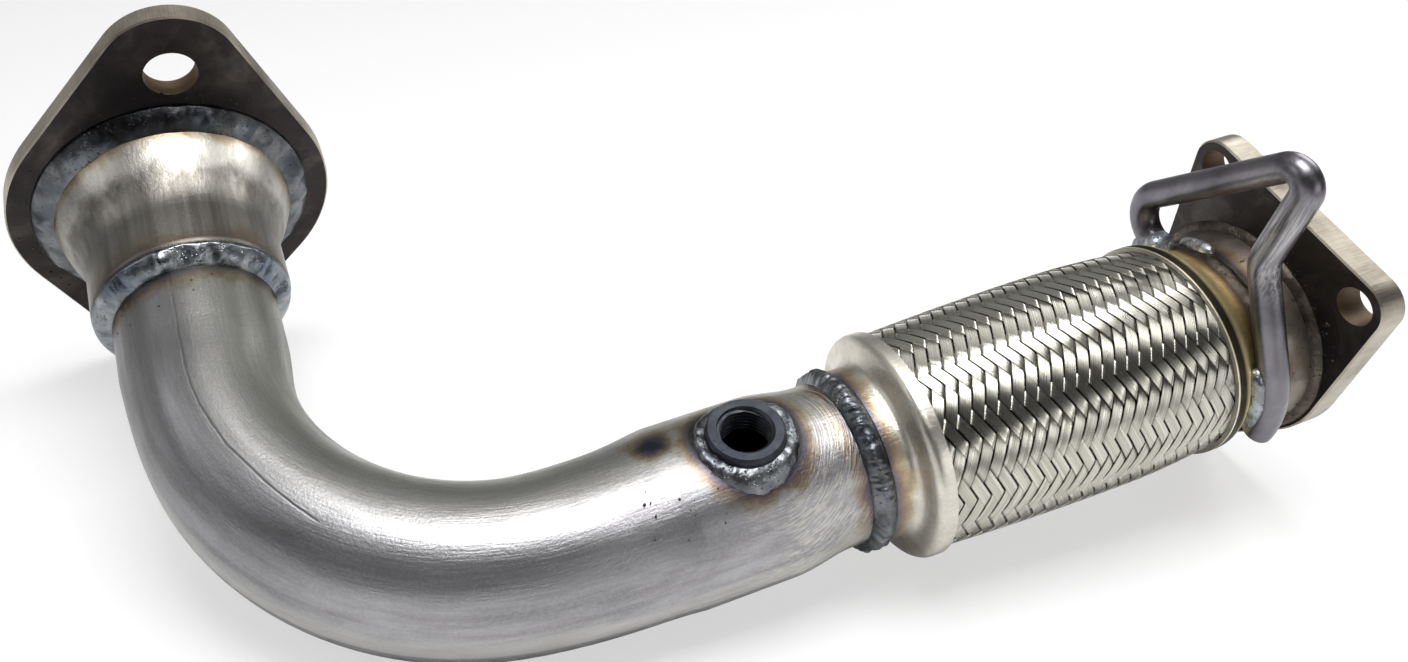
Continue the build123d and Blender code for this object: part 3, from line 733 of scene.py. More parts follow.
inlet_hole_turn = math.radians(90 - 12)
inlet_hole_reach = 0.0654
inlet_hole_way = (
    math.cos(inlet_hole_turn) * along_outlet + math.sin(inlet_hole_turn) * plane_up
)
inlet_holes = [
    inlet_plate_middle + side * inlet_hole_reach * inlet_hole_way for side in (1, -1)
]
outlet_holes = [
    mount_middle(name) for name in ("outlet_bolt_inner", "outlet_bolt_outer", "outlet_bolt_low")
]
inlet_plate_steel = plate_steel("inlet_plate_steel", back_to_inlet, inlet_holes, 0.0095)
outlet_plate_steel = plate_steel("outlet_plate_steel", along_outlet, outlet_holes, 0.0066)
print("plates with", len(inlet_holes), "and", len(outlet_holes), "holes")

# %% [markdown]
# ## Boss and weld metal
# The boss is a turned bush darkened by its weld. Weld metal is blue-grey and glossy where it ran
# last, paler where the bead is clean, and brown at the hot outlet end. These pieces are small, so
# one function does for all: a cloudy tone, a blue sheen in patches, pits and a rough skin.


# %% Boss and weld metal
def plain_steel(name, dark, light, rough, grain_scale, depth=0.0003, blue=None):
    """Steel with cloudy tone and a fine rough skin, for small pieces."""
    material, g, shader = new_metal(name, light)
    cloud = g.noise(g.here(), 120.0, 5.0, 0.6, 0.3)
    grain = g.noise(g.here(), grain_scale, 4.0, 0.6)
    tone = g.ramp(cloud, (0.32, dark), (0.68, light))
    if blue:
        tone = g.blend(g.spread(g.noise(g.here(), 70.0, 3.0), 0.48, 0.62), tone, blue)
    pits = g.spread(g.spots(g.here(), 700.0), 0.12, 0.3, 1.0, 0.0)
    pits = g.times(pits, g.spread(cloud, 0.45, 0.6))
    tone = g.blend(g.times(pits, 0.7), tone, (0.03, 0.03, 0.035))
    tone = g.blend(dark_patch_mask(g), tone, colour(26, 25, 27))
    roughness = g.spread(grain, 0.3, 0.7, rough, rough + 0.2)
    finish_metal(g, shader, tone, roughness, g.bump(g.minus(grain, pits), depth, 0.8))
    return material


boss_steel = plain_steel(
    "boss_steel", colour(48, 50, 54), colour(80, 83, 88), 0.40, 900.0, 0.00008, colour(62, 67, 76)
)
weld_steel = plain_steel(
    "weld_steel", colour(72, 73, 75), colour(134, 137, 140), 0.27, 420.0, blue=colour(90, 95, 101)
)
pale_weld_steel = plain_steel(
    "pale_weld_steel",
    colour(90, 93, 97),
    colour(166, 170, 173),
    0.22,
    420.0,
    blue=colour(108, 118, 129),
)
bright_weld_steel = plain_steel(
    "bright_weld_steel",
    colour(150, 154, 157),
    colour(214, 216, 216),
    0.34,
    300.0,
    blue=colour(160, 170, 180),
)
burnt_weld_steel = plain_steel(
    "burnt_weld_steel", colour(60, 54, 50), colour(104, 96, 88), 0.42, 600.0
)
print("weld metals made, the last is", burnt_weld_steel.name)

# %% [markdown]
# ## Rod steel, and metals on the CAD pieces
# The hanger is drawn bar, grey with streaks that run up its plane and worn bright on the return
# leg. The CAD pieces keep their mesh and take their metals into the slots that they have.


# %% Rod steel
def make_rod_steel():
    """Drawn bar: streaks run up the hanger's plane, worn bright on the return leg."""
    material, g, shader = new_metal("rod_steel", colour(122, 120, 125))
    place = use_group(g, pipe_place)
    up, across = place["Up"], place["Across"]
    drawn = g.noise(g.combine(place["Along"], across, g.times(up, 0.05)), 900.0, 4.0, 0.6)
    cloud = g.noise(g.here(), 60.0, 4.0, 0.6)
    tone = g.ramp(cloud, (0.3, colour(94, 92, 97)), (0.7, colour(132, 130, 135)))
    worn = g.times(
        g.spread(up, 0.044, 0.056),
        g.spread(up, 0.076, 0.092, 1.0, 0.0),
        g.spread(across, 0.006, 0.001),
        g.spread(drawn, 0.45, 0.56),
    )
    tone = g.blend(g.times(worn, 0.8), tone, colour(176, 174, 174))
    roughness = g.spread(drawn, 0.3, 0.7, 0.28, 0.42)
    finish_metal(g, shader, tone, roughness, g.bump(drawn, 0.00008, 0.7))
    return material


rod_steel = make_rod_steel()
print("made", rod_steel.name)

# %% Metals on the CAD pieces
cad_metals = {
    "front_tube": tube_steel,
    "inlet_bell": bell_steel,
    "outlet_bell": outlet_bell_steel,
    "flex_inlet_collar": collar_steel,
    "flex_outlet_collar": outlet_collar_steel,
    "flex_bellows": inner_steel,
    "flex_liner": inner_steel,
    "inlet_flange": inlet_plate_steel,
    "outlet_flange": outlet_plate_steel,
    "hanger_rod": rod_steel,
}
for node, material in cad_metals.items():
    for slot in frame["nodes"][node].material_slots:
        slot.material = material
print("metals on", len(cad_metals), "CAD pieces")

# %% [markdown]
# ## Mesh helpers
# New pieces are grids of points wrapped round a leg or the boss. Modelling each in place would
# mean slanted sums, so they are made along their own x axis and then turned onto the leg inside
# the mesh, and the finished piece sits at the origin.


# %% Mesh helpers
def add_object(name, data):
    """Puts a mesh, lamp or camera into the scene."""
    thing = bpy.data.objects.new(name, data)
    bpy.context.scene.collection.objects.link(thing)
    return thing


def finish_piece(name, verts, faces, place, material):
    """Makes the object, puts it in place in its mesh, and lets it ride with the pipe."""
    mesh = bpy.data.meshes.new(name)
    mesh.from_pydata(verts, [], faces)
    mesh.transform(place)
    mesh.validate()
    piece = add_object(name, mesh)
    piece.data.materials.append(material)
    for polygon in mesh.polygons:
        polygon.use_smooth = True
    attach(piece, "root")
    return piece


def wrapped_faces(rings, sides):
    """Quads between closed rings of points, the last ring joined to the first."""
    faces = []
    for ring in range(rings):
        start, after = ring * sides, (ring + 1) % rings * sides
        for side in range(sides):
            beside = (side + 1) % sides
            faces.append((start + side, after + side, after + beside, start + beside))
    return faces


def ring_seed(angle, seed):
    """Where a ring reads the noise; it closes on itself, and the seed sets it apart."""
    return Vector((math.cos(angle), math.sin(angle), seed)) * 3


print("a ring of 3 by 3 points has", len(wrapped_faces(3, 3)), "faces")

# %% [markdown]
# ## Weld beads
# A bead is laid in overlapping pools, so its crown carries curved ripples, its edges wander, and
# it swells where the welder stopped and started. A bevelled curve would be too even. One function
# sweeps the section round a leg: it is told the two feet of the bead on the steel below it, how
# full it is, and where it is lumpy. Smooth noise with a fixed offset moves the feet and the crown.

# %% How a bead is swept
bead_root = 0.0012
bead_section = 12
rows_per_pool = 4
pool_curl, pool_step = 0.55, 0.09


def lumps_at(angle, radius, lumps):
    """How high the lumps are at an angle; each is (angle, width, height)."""
    extra = 0.0
    for lump_angle, lump_width, lump_height in lumps:
        apart = (angle - math.radians(lump_angle) + math.pi) % (2 * math.pi) - math.pi
        extra += lump_height * math.exp(-((apart * radius / lump_width) ** 2))
    return extra


def ring_weld(name, node, place, foot, head, fullness, ripple, wander, seed, lumps=(), metal=None):
    """foot and head are (along, radius) on the leg; ripple is the length of a pool."""
    radius = (foot[1] + head[1]) / 2
    turns = round(2 * math.pi * radius / ripple) * rows_per_pool
    slope = Vector((head[0] - foot[0], head[1] - foot[1]))
    out = Vector((-slope.y, slope.x)).normalized()
    if out.y < 0:
        out = -out
    verts = []
    for turn in range(turns):
        angle = 2 * math.pi * turn / turns
        ring = ring_seed(angle, seed)
        drift = noise.noise(ring * 2.3) * wander * 2
        swell = 1 + 0.3 * noise.noise(ring * 1.7 + Vector((7, 1, 3)))
        swell += 0.25 * noise.noise(ring * 5.1 + Vector((2, 9, 4)))
        extra = lumps_at(angle, radius, lumps)
        for step in range(bead_section - 2):
            share = step / (bead_section - 3)
            crown = math.sin(math.pi * share)
            pool = (turn / rows_per_pool + pool_curl * (2 * share - 1) ** 2) % 1.0
            step_up = pool_step * (1 - pool) * crown
            grain = noise.noise(ring * 9 + Vector((share * 4, 0, 0))) * 0.22
            lift = fullness * crown * (swell + step_up + grain) + extra * crown**0.7
            along = foot[0] + slope.x * share + out.x * lift + drift * crown
            verts.append(round_point(along, foot[1] + slope.y * share + out.y * lift, angle))
        for end in (head, foot):
            verts.append(round_point(end[0], end[1] - bead_root, angle))
    faces = wrapped_faces(turns, bead_section)
    piece = finish_piece(name, verts, faces, place, metal or weld_steel)
    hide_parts(node)
    return piece


print("a bead has", bead_section, "points in its section")

# %% Weld beads round the legs
weld_pieces = [
    ring_weld(
        "inlet_flange_bead",
        "inlet_flange_weld",
        inlet_leg_place,
        foot=(0.0, 0.0515),
        head=(0.0068, 0.0432),
        fullness=0.0010,
        ripple=0.0030,
        wander=0.0010,
        seed=1.0,
        lumps=[
            (165, 0.0035, 0.0016),
            (6, 0.0045, 0.0026),
            (-8, 0.0030, 0.0020),
            (-24, 0.0050, 0.0014),
            (62, 0.0030, 0.0008),
            (118, 0.0025, 0.0010),
            (196, 0.0040, 0.0010),
        ],
    ),
    ring_weld(
        "bell_bead",
        "inlet_bell_weld",
        inlet_leg_place,
        foot=(0.0540, 0.0347),
        head=(0.0598, 0.0286),
        fullness=0.0007,
        ripple=0.0020,
        wander=0.0007,
        seed=2.0,
        lumps=[
            (0, 0.004, 0.0018),
            (99, 0.0015, 0.0012),
            (108, 0.0030, 0.0006),
            (170, 0.003, 0.0010),
        ],
        metal=pale_weld_steel,
    ),
    ring_weld(
        "collar_bead",
        "flex_inlet_weld",
        outlet_leg_place,
        foot=(0.0914, 0.0271),
        head=(0.0994, 0.0288),
        fullness=0.0027,
        ripple=0.0018,
        wander=0.0006,
        seed=3.0,
        lumps=[(70, 0.0030, 0.0005), (171, 0.0035, 0.0008)],
    ),
    ring_weld(
        "neck_bead",
        "outlet_neck_weld",
        outlet_leg_place,
        foot=(0.2392, 0.0337),
        head=(0.2446, 0.0343),
        fullness=0.0007,
        ripple=0.0016,
        wander=0.0005,
        seed=4.0,
        metal=burnt_weld_steel,
    ),
    ring_weld(
        "outlet_flange_bead",
        "outlet_flange_weld",
        outlet_leg_place,
        foot=(0.2560, 0.0360),
        head=(0.2589, 0.0392),
        fullness=0.0006,
        ripple=0.0018,
        wander=0.0004,
        seed=5.0,
        metal=burnt_weld_steel,
    ),
]
print("ring welds", [piece.name for piece in weld_pieces])

# %% [markdown]
# The boss has a wide bead that drapes over the tube's round top, so its foot follows the tube:
# the boss leans about the leg's own axis, and a point's height comes from the tube's radius.

# %% Boss bead
over_axis = 0.0270
tube_top = 0.0298
bush_side, bush_foot = 0.0120, 0.0302
boss_bead_reach, boss_bead_fullness = 0.0163, 0.0013
bead_turns, boss_bead_section = 144, 11


def tube_surface(side):
    """The height of the tube's skin in the boss's own frame, at a distance to one side."""
    return math.sqrt(tube_top**2 - side**2) - over_axis - 0.0003


def boss_bead():
    verts = []
    for turn in range(bead_turns):
        angle = 2 * math.pi * turn / bead_turns
        ring = ring_seed(angle, 6.0)
        towards_front = max(0.0, -math.sin(angle + 0.35))
        reach = boss_bead_reach + 0.0016 * towards_front + 0.0008 * noise.noise(ring * 1.3)
        reach += 0.0004 * noise.noise(ring * 4.0)
        head = (bush_side, bush_foot + 0.0004 * noise.noise(ring * 1.9) - over_axis)
        foot = (reach, tube_surface(reach * math.sin(angle)))
        for step in range(boss_bead_section - 2):
            share = step / (boss_bead_section - 3)
            crown = math.sin(math.pi * share)
            pool = (turn * 0.42 + 0.7 * (2 * share - 1) ** 2) % 1.0
            swell = 1 + 0.35 * noise.noise(ring * 2.2 + Vector((share, 0, 0)))
            lift = boss_bead_fullness * crown * swell
            lift += 0.00022 * crown * (1 - pool)
            radius = head[0] + (foot[0] - head[0]) * share + lift * 0.6
            rise = head[1] + (foot[1] - head[1]) * share + lift * 0.8
            rise = max(rise, tube_surface(radius * math.sin(angle)))
            verts.append(round_point(rise, radius, angle))
        verts.append(round_point(foot[1] - 0.0030, foot[0] - 0.0012, angle))
        verts.append(round_point(head[1] - 0.0060, head[0], angle))
    faces = wrapped_faces(bead_turns, boss_bead_section)
    piece = finish_piece("boss_bead", verts, faces, boss_place, weld_steel)
    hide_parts("sensor_boss_weld")
    return piece


boss_weld = boss_bead()
print("boss bead", len(boss_weld.data.polygons), "faces")

# %% [markdown]
# The rod is held by two short beads laid by hand: a lump at its foot and a run in the groove
# where it wraps the neck. Both are a rough sausage along a short path, thin at its ends, because
# such a bead has no even ripples. A third lump sits on the neck's seam.

# %% Short beads round the neck
run_sides, run_points = 16, 28


def round_neck(station, radius, start, end):
    """Points round the outlet leg from one angle to another."""
    points = []
    for index in range(run_points):
        angle = math.radians(start + (end - start) * index / (run_points - 1))
        points.append(Vector(round_point(station, radius, angle)))
    return points


def rough_run(name, path, width, metal, seed):
    """A rough bead along a short path of points, round in section and thin at both ends."""
    verts, faces = [], []
    last = len(path) - 1
    for index, point in enumerate(path):
        ahead = path[min(index + 1, last)] - path[max(index - 1, 0)]
        ahead.normalize()
        first = ahead.cross(Vector((0.3, 0.2, 0.9))).normalized()
        second = ahead.cross(first)
        taper = math.sqrt(max(0.0, 1 - (2 * index / last - 1) ** 4)) * 0.9 + 0.1
        for side in range(run_sides):
            angle = 2 * math.pi * side / run_sides
            way = math.cos(angle) * first + math.sin(angle) * second
            where = point * 260 + way * 0.8 + Vector((seed, 0, 0))
            rough = 1 + 0.28 * noise.noise(where) + 0.12 * noise.noise(where * 2.7)
            verts.append(tuple(point + way * width * taper * rough))
    for index in range(last):
        a, b = index * run_sides, (index + 1) * run_sides
        for side in range(run_sides):
            beside = (side + 1) % run_sides
            faces.append((a + side, a + beside, b + beside, b + side))
    faces.append(tuple(reversed(range(run_sides))))
    faces.append(tuple(range(last * run_sides, (last + 1) * run_sides)))
    return finish_piece(name, verts, faces, outlet_leg_place, metal)


foot_path = round_neck(0.2360, 0.0355, 27.0, 50.0)
groove_path = round_neck(0.2334, 0.0366, 141.0, 180.0)
seam_path = round_neck(0.2440, 0.0345, 46.0, 70.0)
foot_weld = rough_run("rod_foot_bead", foot_path, 0.0056, bright_weld_steel, 1.0)
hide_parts("hanger_upper_weld")
groove_weld = rough_run("rod_groove_bead", groove_path, 0.0033, pale_weld_steel, 4.0)
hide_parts("hanger_lower_weld")
seam_lump = rough_run("neck_seam_lump", seam_path, 0.0028, bright_weld_steel, 9.0)
print("short beads", [piece.name for piece in (foot_weld, groove_weld, seam_lump)])

# %% [markdown]
# Welding throws drops that freeze where they land. They are small domes, squashed onto the
# steel, thick near the beads and thin further off. Scattering by particles would land some on
# the wrong pieces, so each zone draws its own places, and all drops are kept in one mesh.

# %% Where the drops land
outlet_plate_face = 0.2589
clear_of_hole = 0.012
inlet_tube_radius, outlet_tube_radius = 0.0286, 0.0296


def inlet_bell_radius(along):
    """The inlet bell narrows away from its flange."""
    return 0.0455 - 0.0105 * along / 0.0275 + 0.0003


def outlet_bell_radius(along):
    """The outlet bell widens towards its flange."""
    return 0.0341 + 0.0026 * (along - 0.2422) / 0.0167 + 0.0005


def on_pipe(count, size, leg, skin, **draws):
    """Drops on a leg; skin is its radius, and draws are the ranges for along and around."""
    drops = []
    for _ in range(count):
        drawn = {name: random.uniform(*reach) for name, reach in draws.items()}
        way = Vector(round_point(0, 1, math.radians(drawn["around"])))
        along = drawn["along"]
        radius = skin(along) if callable(skin) else skin
        point = Vector((along, radius * way.y, radius * way.z))
        drops.append((leg @ point, leg.to_3x3() @ way, size))
    return drops


def on_plate(count, size, leg, station, facing, around, radii):
    """Drops on a flange's face, none of them over a hole."""
    drops = []
    for _ in range(count):
        turn, radius = random.uniform(*around), random.uniform(*radii)
        way = Vector(round_point(0, 1, math.radians(turn)))
        point = leg @ Vector((station, radius * way.y, radius * way.z))
        if min((point - hole).length for hole in outlet_holes) > clear_of_hole:
            drops.append((point, facing, size))
    return drops


random.seed(11)
drops = [
    *on_pipe(34, 1.0, inlet_leg_place, inlet_bell_radius, along=(0.007, 0.020), around=(60, 215)),
    *on_plate(30, 1.0, inlet_leg_place, 0.0, -back_to_inlet, (30, 230), (0.0525, 0.0575)),
    *on_pipe(12, 0.8, inlet_leg_place, inlet_tube_radius, around=(60, 190), along=(0.061, 0.074)),
    *on_pipe(22, 0.8, outlet_leg_place, outlet_tube_radius, along=(0.020, 0.052), around=(55, 130)),
    *on_pipe(
        26, 0.9, outlet_leg_place, outlet_bell_radius, along=(0.246, 0.257), around=(60, 200)
    ),
    *on_plate(
        22, 0.8, outlet_leg_place, outlet_plate_face, -along_outlet, (95, 150), (0.0392, 0.0440)
    ),
]
print(len(drops), "drops")


# %% Spatter
drop_sides = 7
smallest_drop, largest_drop = 0.00028, 0.0007


def make_spatter():
    verts, faces = [], []
    for point, way, scale in drops:
        size = random.uniform(smallest_drop, largest_drop) * scale
        side = way.orthogonal().normalized()
        other = way.cross(side)
        rim = len(verts)
        shoulder, tip = rim + drop_sides, rim + 2 * drop_sides
        for reach, rise in ((1.0, -0.3), (0.8, 0.4)):
            for step in range(drop_sides):
                angle = 2 * math.pi * step / drop_sides
                spread = side * math.cos(angle) + other * math.sin(angle)
                verts.append(tuple(point + spread * size * reach + way * size * rise))
        verts.append(tuple(point + way * size * 0.75))
        for step in range(drop_sides):
            beside = (step + 1) % drop_sides
            faces.append((rim + step, rim + beside, shoulder + beside, shoulder + step))
            faces.append((shoulder + step, shoulder + beside, tip))
        faces.append(tuple(rim + step for step in reversed(range(drop_sides))))
    return finish_piece("spatter", verts, faces, Matrix(), burnt_weld_steel)


spatter = make_spatter()
print("spatter", len(spatter.data.polygons), "faces")

# %% [markdown]
# ## Braid
# The flexible section wears a sleeve of flat bands, each of nine fine wires side by side, 24 one
# way and 24 the other, laid over two and under two. Where the bands cross they make the zigzag
# rows that run along the sleeve. Geometry nodes copy one strip for every band and bend each copy
# to its helix, because a bump map would leave no dark gaps and no ragged outline. A cosine of
# the crossing number lifts and lowers a band. The rows of a strip's mesh run along the bands
# that cross it and crowd together where it goes over or under, so that each step is clean. The
# sleeve is fullest near its outlet end.

# %% Sizes of the braid
braid_start, braid_end = 0.1134, 0.2254
braid_rim, braid_belly, belly_station = 0.0364, 0.0385, 0.188
middle_radius = 0.0378
carriers = 24
band_width = 0.00362
lay_angle = math.radians(64)
lay_rate = math.tan(lay_angle) / middle_radius
perpendicular_pitch = 2 * math.pi * middle_radius / carriers * math.cos(lay_angle)
crowding = 0.88
steepness, flat_share = 9.0, 0.75
chart_scale = 3.5
wires_per_band = 9
braid_inputs = {
    "Start": braid_start,
    "Length": braid_end - braid_start,
    "Rim": braid_rim,
    "Belly": braid_belly,
    "Belly Station": belly_station,
    "Lay Rate": lay_rate,
    "Band Width": band_width,
    "Thickness": 0.00040,
    "Weave Height": 0.00026,
    "Carriers": carriers,
    "Samples": 188,
}
print("bands", 2 * carriers, "with", round(perpendicular_pitch * 1000, 2), "mm between them")


# %% Flat strips, one for each band
def keep_value(g, geometry, name, value, kind="FLOAT", domain="POINT"):
    """Stores a value on the mesh under a name."""
    values = {"Geometry": geometry, "Name": name, "Value": value}
    return g.make("GeometryNodeStoreNamedAttribute", values, data_type=kind, domain=domain)


def flat_strips(g, given):
    """One flat strip for every band, each carrying its number."""
    size = {"Size X": 1.0, "Size Y": 1.0, "Vertices X": given["Samples"], "Vertices Y": 5}
    strip = g.make("GeometryNodeMeshGrid", size)
    count = {"Count": g.times(given["Carriers"], 2.0), "Offset": (0.0, 0.0, 0.0)}
    seats = g.make("GeometryNodeMeshLine", count, mode="OFFSET", count_mode="TOTAL")
    copies = g.make("GeometryNodeInstanceOnPoints", {"Points": seats, "Instance": strip})
    index = g.make("GeometryNodeInputIndex", {})
    numbered = keep_value(g, copies, "band", index, domain="INSTANCE")
    return g.make("GeometryNodeRealizeInstances", {"Geometry": numbered})


# %% Where each point of a strip goes
def lay_bands(g, given):
    """The place of every point, and what the wires' material reads."""
    # A band's number tells its hand and its carrier; its grid tells how far along and across.
    number = g.make("GeometryNodeInputNamedAttribute", {"Name": "band"}, data_type="FLOAT")
    hand = g.minus(g.times(g.calc("MODULO", number, 2.0), 2.0), 1.0)
    carrier = g.calc("FLOOR", g.over(number, 2.0))
    grid_x, grid_y, _ = g.parts(g.make("GeometryNodeInputPosition", {}))
    share = g.plus(grid_x, 0.5)
    row = g.times(grid_y, 4.0)
    across = g.held(row, -1.0, 1.0)
    edge = g.calc("GREATER_THAN", g.calc("ABSOLUTE", row), 1.5)

    # Rows follow the bands that cross, and crowd where the strip goes over or under.
    step = g.over(2 * math.pi, given["Carriers"])
    per_float = g.over(step, given["Lay Rate"])
    floats = g.times(share, g.over(given["Length"], per_float))
    turn = g.times(g.plus(floats, 0.25), 2 * math.pi)
    floats = g.minus(floats, g.times(g.calc("SINE", turn), crowding / (2 * math.pi)))
    travel = g.times(floats, per_float)
    half_band = g.times(given["Band Width"], 0.5)
    sideways = g.times(across, g.times(g.over(half_band, perpendicular_pitch), step))
    shear = g.over(g.times(sideways, 0.5), given["Lay Rate"])
    station = g.minus(g.plus(travel, given["Start"]), g.times(hand, shear))

    # The weave lifts and lowers the band; the sleeve bellies out between its rims.
    beat = g.plus(g.times(carrier, 2.0), g.times(hand, g.times(floats, 2.0)))
    bow = g.calc("COSINE", g.times(g.minus(beat, 0.5), math.pi / 2))
    wave = g.held(g.times(bow, steepness), -1.0, 1.0)
    bow = g.plus(g.times(wave, flat_share), g.times(bow, 1 - flat_share))
    lift = g.times(bow, hand, given["Weave Height"])
    behind = g.over(g.minus(given["Belly Station"], station), belly_station - lip_start)
    ahead = g.over(g.minus(station, given["Belly Station"]), lip_end - belly_station)
    off_belly = g.calc("MINIMUM", g.calc("MAXIMUM", behind, ahead), 1.0)
    radius = g.between(g.calc("POWER", off_belly, 2.0), given["Belly"], given["Rim"])
    radius = g.minus(g.plus(radius, lift), g.times(edge, given["Thickness"]))
    helix = g.times(hand, g.times(travel, given["Lay Rate"]))
    angle = g.plus(g.times(carrier, step), helix, g.times(sideways, 0.5))
    y, z = (g.times(radius, g.calc(turned_by, angle)) for turned_by in ("COSINE", "SINE"))

    # The chart is square to the wires, so it slants against the rows of the mesh.
    chart_across = g.times(row, half_band)
    slant = g.times(chart_across, hand, 1 / math.tan(math.pi - 2 * lay_angle))
    chart_along = g.plus(g.over(travel, math.cos(lay_angle)), slant)
    chart = [g.times(value, chart_scale) for value in (chart_across, chart_along)]
    return {
        "place": g.combine(station, y, z),
        "wires": g.combine(g.times(grid_y, 2.0), 0.0, number),
        "strand": g.combine(*chart, 0.0),
        "lift": g.times(wave, hand),
    }


# %% The whole tree
def make_braid_tree():
    tree = bpy.data.node_groups.new("braid", "GeometryNodeTree")
    for label, value in braid_inputs.items():
        kind = "NodeSocketInt" if isinstance(value, int) else "NodeSocketFloat"
        socket = tree.interface.new_socket(label, in_out="INPUT", socket_type=kind)
        socket.default_value = value
    tree.interface.new_socket("Metal", in_out="INPUT", socket_type="NodeSocketMaterial")
    tree.interface.new_socket("Geometry", in_out="OUTPUT", socket_type="NodeSocketGeometry")
    g = Graph(tree)
    given = g.add("NodeGroupInput").outputs
    laid = lay_bands(g, given)
    strips = keep_value(g, flat_strips(g, given), "wires", laid["wires"], "FLOAT_VECTOR")
    strips = keep_value(g, strips, "strand", laid["strand"], "FLOAT2", "CORNER")
    strips = keep_value(g, strips, "lift", laid["lift"])
    bent = g.make("GeometryNodeSetPosition", {"Geometry": strips, "Position": laid["place"]})
    outward = g.make("GeometryNodeFlipFaces", {"Mesh": bent})
    whole = g.make("GeometryNodeRealizeInstances", {"Geometry": outward})
    metal = g.make("GeometryNodeSetMaterial", {"Geometry": whole, "Material": given["Metal"]})
    g.add("NodeGroupOutput", metal)
    return tree


braid_tree = make_braid_tree()
print("braid tree", len(braid_tree.nodes), "nodes")

# %% [markdown]
# The wires are bright steel. Single wires are too fine to model, so the material draws nine of
# them across each band, with painted shade in the grooves between them and a tone of its own for
# each. Round wires spread a highlight across them, which is what anisotropy does: a UV map square
# to the wires gives it their direction. A band is darkened with painted shade where it goes under
# another.


# %% Wire steel
def wire_steel():
    """Bright wire, no two bands quite alike."""
    light = colour(205, 203, 192)
    material, g, shader = new_metal("wire_steel", light)
    wires = g.add("ShaderNodeAttribute", attribute_name="wires")
    side, _, band = g.parts(wires.outputs["Vector"])
    wire = g.times(side, wires_per_band / 2)
    round_wire = g.calc("ABSOLUTE", g.calc("SINE", g.times(wire, math.pi)))
    each = {"Vector": g.combine(g.calc("FLOOR", wire), 0.0, band)}
    chance = g.make("ShaderNodeTexWhiteNoise", each, noise_dimensions="3D")
    tone = g.blend(g.spread(chance, 0.0, 1.0, 0.0, 0.45), light, colour(138, 133, 120))
    # Painted shade in the grooves between the wires.
    tone = g.blend(g.spread(round_wire, 0.0, 0.3, 0.45, 0.0), tone, (0.03, 0.03, 0.03))
    lift = g.add("ShaderNodeAttribute", attribute_name="lift").outputs["Fac"]
    # Painted shade where a band goes under another.
    tone = g.blend(g.spread(lift, -0.8, 0.2, 0.97, 0.0), tone, (0.012, 0.011, 0.010))
    roughness = g.spread(chance, 0.0, 1.0, 0.26, 0.34)
    finish_metal(g, shader, tone, roughness, g.bump(round_wire, 0.00003, 0.5))
    tangent = g.make("ShaderNodeTangent", {}, direction_type="UV_MAP", uv_map="strand")
    g.fill(shader, {"Anisotropic": 1.0, "Tangent": tangent})
    return material


wire_metal = wire_steel()
print("made", wire_metal.name)


# %% Braid sleeve
def bake_nodes(name, tree, values, place):
    """Runs a geometry tree once and keeps its result as a plain mesh at the origin."""
    seed = add_object(name + "_seed", bpy.data.meshes.new(name + "_seed"))
    modifier = seed.modifiers.new("nodes", "NODES")
    modifier.node_group = tree
    for item in tree.interface.items_tree:
        if item.item_type == "SOCKET" and item.in_out == "INPUT" and item.name in values:
            modifier[item.identifier] = values[item.name]
    graph = bpy.context.evaluated_depsgraph_get()
    mesh = bpy.data.meshes.new_from_object(seed.evaluated_get(graph), depsgraph=graph)
    bpy.data.objects.remove(seed)
    mesh.name = name
    mesh.transform(place)
    mesh.materials.clear()
    mesh.materials.append(values["Metal"])
    for polygon in mesh.polygons:
        polygon.use_smooth = True
        polygon.material_index = 0
    mesh.set_sharp_from_angle(angle=math.radians(40))
    return add_object(name, mesh)


braid = bake_nodes("braid_sleeve", braid_tree, {"Metal": wire_metal}, outlet_leg_place)
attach(braid, "root")
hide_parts("flex_braid")
print("braid", len(braid.data.polygons), "faces", [m.name for m in braid.data.materials])

# %% [markdown]
# ## Sensor boss
# The boss is turned on a lathe and tapped M18 x 1.5. A bump map would show no thread in the
# mouth's outline, so its mesh is one closed profile swept round, in which the bore's radius
# follows the thread: a pitch further down at each turn.

# %% Boss with its thread
boss_top, boss_bottom = 0.0059, -0.0046
boss_outer, boss_edge = 0.0125, 0.0007
thread_crest, thread_root, thread_pitch = 0.0081, 0.0090, 0.0015
thread_top = boss_top - 0.0008
mouth_radius = 0.0092
boss_sides, thread_rows = 96, 60
boss_outline = [
    (boss_bottom, thread_root),
    (boss_bottom, boss_outer),
    (boss_top - boss_edge, boss_outer),
    (boss_top, boss_outer - boss_edge),
    (boss_top, mouth_radius),
]


def threaded_boss():
    verts = []
    for side in range(boss_sides):
        turn = side / boss_sides
        ring = list(boss_outline)
        for row in range(thread_rows):
            along = thread_top + (boss_bottom - thread_top) * row / (thread_rows - 1)
            phase = (along / thread_pitch - turn) % 1.0
            ridge = max(0.0, min(1.0, 2.2 * (1 - abs(2 * phase - 1)) - 0.6))
            ring.append((along, thread_root + (thread_crest - thread_root) * ridge))
        verts += [round_point(along, radius, 2 * math.pi * turn) for along, radius in ring]
    faces = wrapped_faces(boss_sides, len(boss_outline) + thread_rows)
    piece = finish_piece("threaded_boss", verts, faces, boss_place, boss_steel)
    piece.data.set_sharp_from_angle(angle=math.radians(35))
    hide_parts("sensor_boss")
    return piece


boss = threaded_boss()
print("boss", len(boss.data.polygons), "faces")

# %% [markdown]
# ## Floor, light and camera
# A plain studio: a pale floor, white beyond it, and one large soft light high up in front, which
# lays the broad highlight along the pipe's top. Weaker panels stand at the left, in front and at
# the right. The world's greys give the steel something dark and something light to mirror.

# %% Floor
floor_reach = 6.0
white = (1.0, 1.0, 1.0)


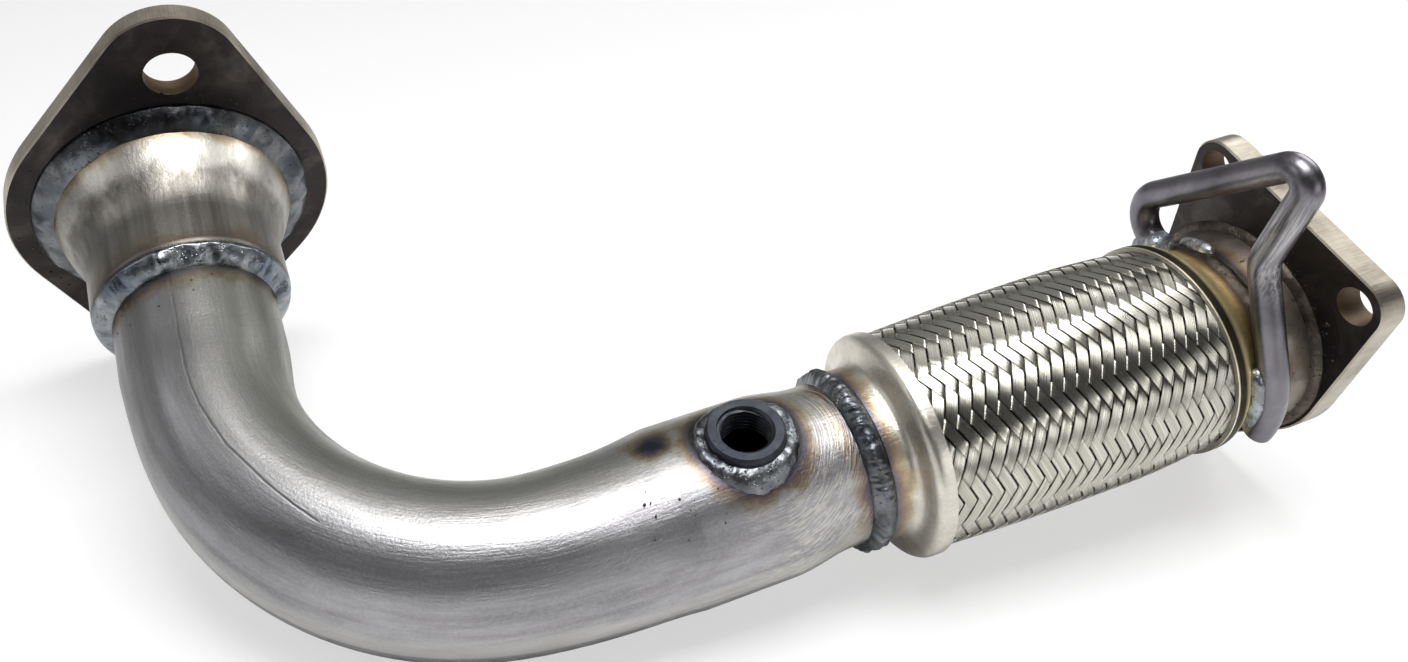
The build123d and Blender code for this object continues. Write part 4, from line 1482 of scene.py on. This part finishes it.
def make_floor():
    mesh = bpy.data.meshes.new("floor")
    r = floor_reach
    mesh.from_pydata([(-r, -r, 0), (r, -r, 0), (r, r, 0), (-r, r, 0)], [], [(0, 1, 2, 3)])
    floor = add_object("floor", mesh)
    material = bpy.data.materials.new("floor_paper")
    material.use_nodes = True
    nodes = material.node_tree.nodes
    g = Graph(material.node_tree)
    paper = g.fill(nodes["Principled BSDF"], {"Base Color": (0.86, 0.86, 0.86), "Roughness": 0.9})
    glow = g.make("ShaderNodeEmission", {"Color": white})
    seen = g.add("ShaderNodeLightPath").outputs["Is Camera Ray"]
    both = g.add("ShaderNodeMixShader", g.times(seen, 0.6), paper.outputs[0], glow)
    g.fill(nodes["Material Output"], {"Surface": both.outputs[0]})
    mesh.materials.append(material)
    return floor


floor = make_floor()
print("floor", 2 * floor_reach, "m wide")


# %% World
def make_world():
    world = bpy.data.worlds.new("studio")
    bpy.context.scene.world = world
    world.use_nodes = True
    g = Graph(world.node_tree)
    _, y, z = g.parts(g.add("ShaderNodeTexCoord").outputs["Generated"])
    height = g.spread(z, -0.2, 1.0)
    room = g.ramp(height, (0.0, 0.30), (0.17, 0.28), (0.30, 0.09), (0.62, 0.12), (1.0, 0.38))
    front = g.times(g.spread(y, -0.7, 0.0, 0.35, 1.0), g.spread(y, 0.1, 0.8, 1.0, 2.0))
    room = g.blend(1.0, room, g.combine(front, front, front), "MULTIPLY")
    seen = g.add("ShaderNodeLightPath").outputs["Is Camera Ray"]
    background = world.node_tree.nodes["Background"]
    g.fill(background, {"Color": g.blend(seen, room, white), "Strength": 1.0})
    return world


print("world", make_world().name)


# %% Lights
def soft_light(name, place, target, width, height, power):
    """A rectangular panel that looks at a target."""
    light = bpy.data.lights.new(name, "AREA")
    light.shape = "RECTANGLE"
    light.size, light.size_y, light.energy = width, height, power
    lamp = add_object(name, light)
    lamp.location = place
    lamp.rotation_euler = (Vector(target) - Vector(place)).to_track_quat("-Z", "Y").to_euler()
    return lamp


panels = [
    soft_light("top_panel", (0.0, -0.20, 1.13), (0, 0, 0.05), 0.66, 0.52, 14.0),
    soft_light("left_panel", (-1.1, 0.2, 0.7), (-0.05, 0, 0.05), 0.5, 0.6, 1.6),
    soft_light("front_panel", (0.6, -1.2, 0.30), (0, 0, 0.05), 0.8, 0.25, 2.2),
    soft_light("right_panel", (1.05, 0.25, 0.75), (0.15, 0, 0.08), 0.6, 0.5, 6.0),
]
print("lights", [panel.name for panel in panels])

# %% Camera
camera_data = bpy.data.cameras.new("camera")
camera_data.lens = 31.125
camera_data.sensor_width = 36.0
camera_data.shift_x = 0.06922
camera_data.shift_y = -0.09874
camera = add_object("camera", camera_data)
camera.location = (-0.15022, -0.35998, 0.29978)
camera.rotation_euler = [math.radians(angle) for angle in (64.1387, -0.8124, -20.1722)]
bpy.context.scene.camera = camera
bpy.context.scene.view_settings.view_transform = "Standard"
print("camera at", tuple(round(v, 3) for v in camera.location))

# %% [markdown]
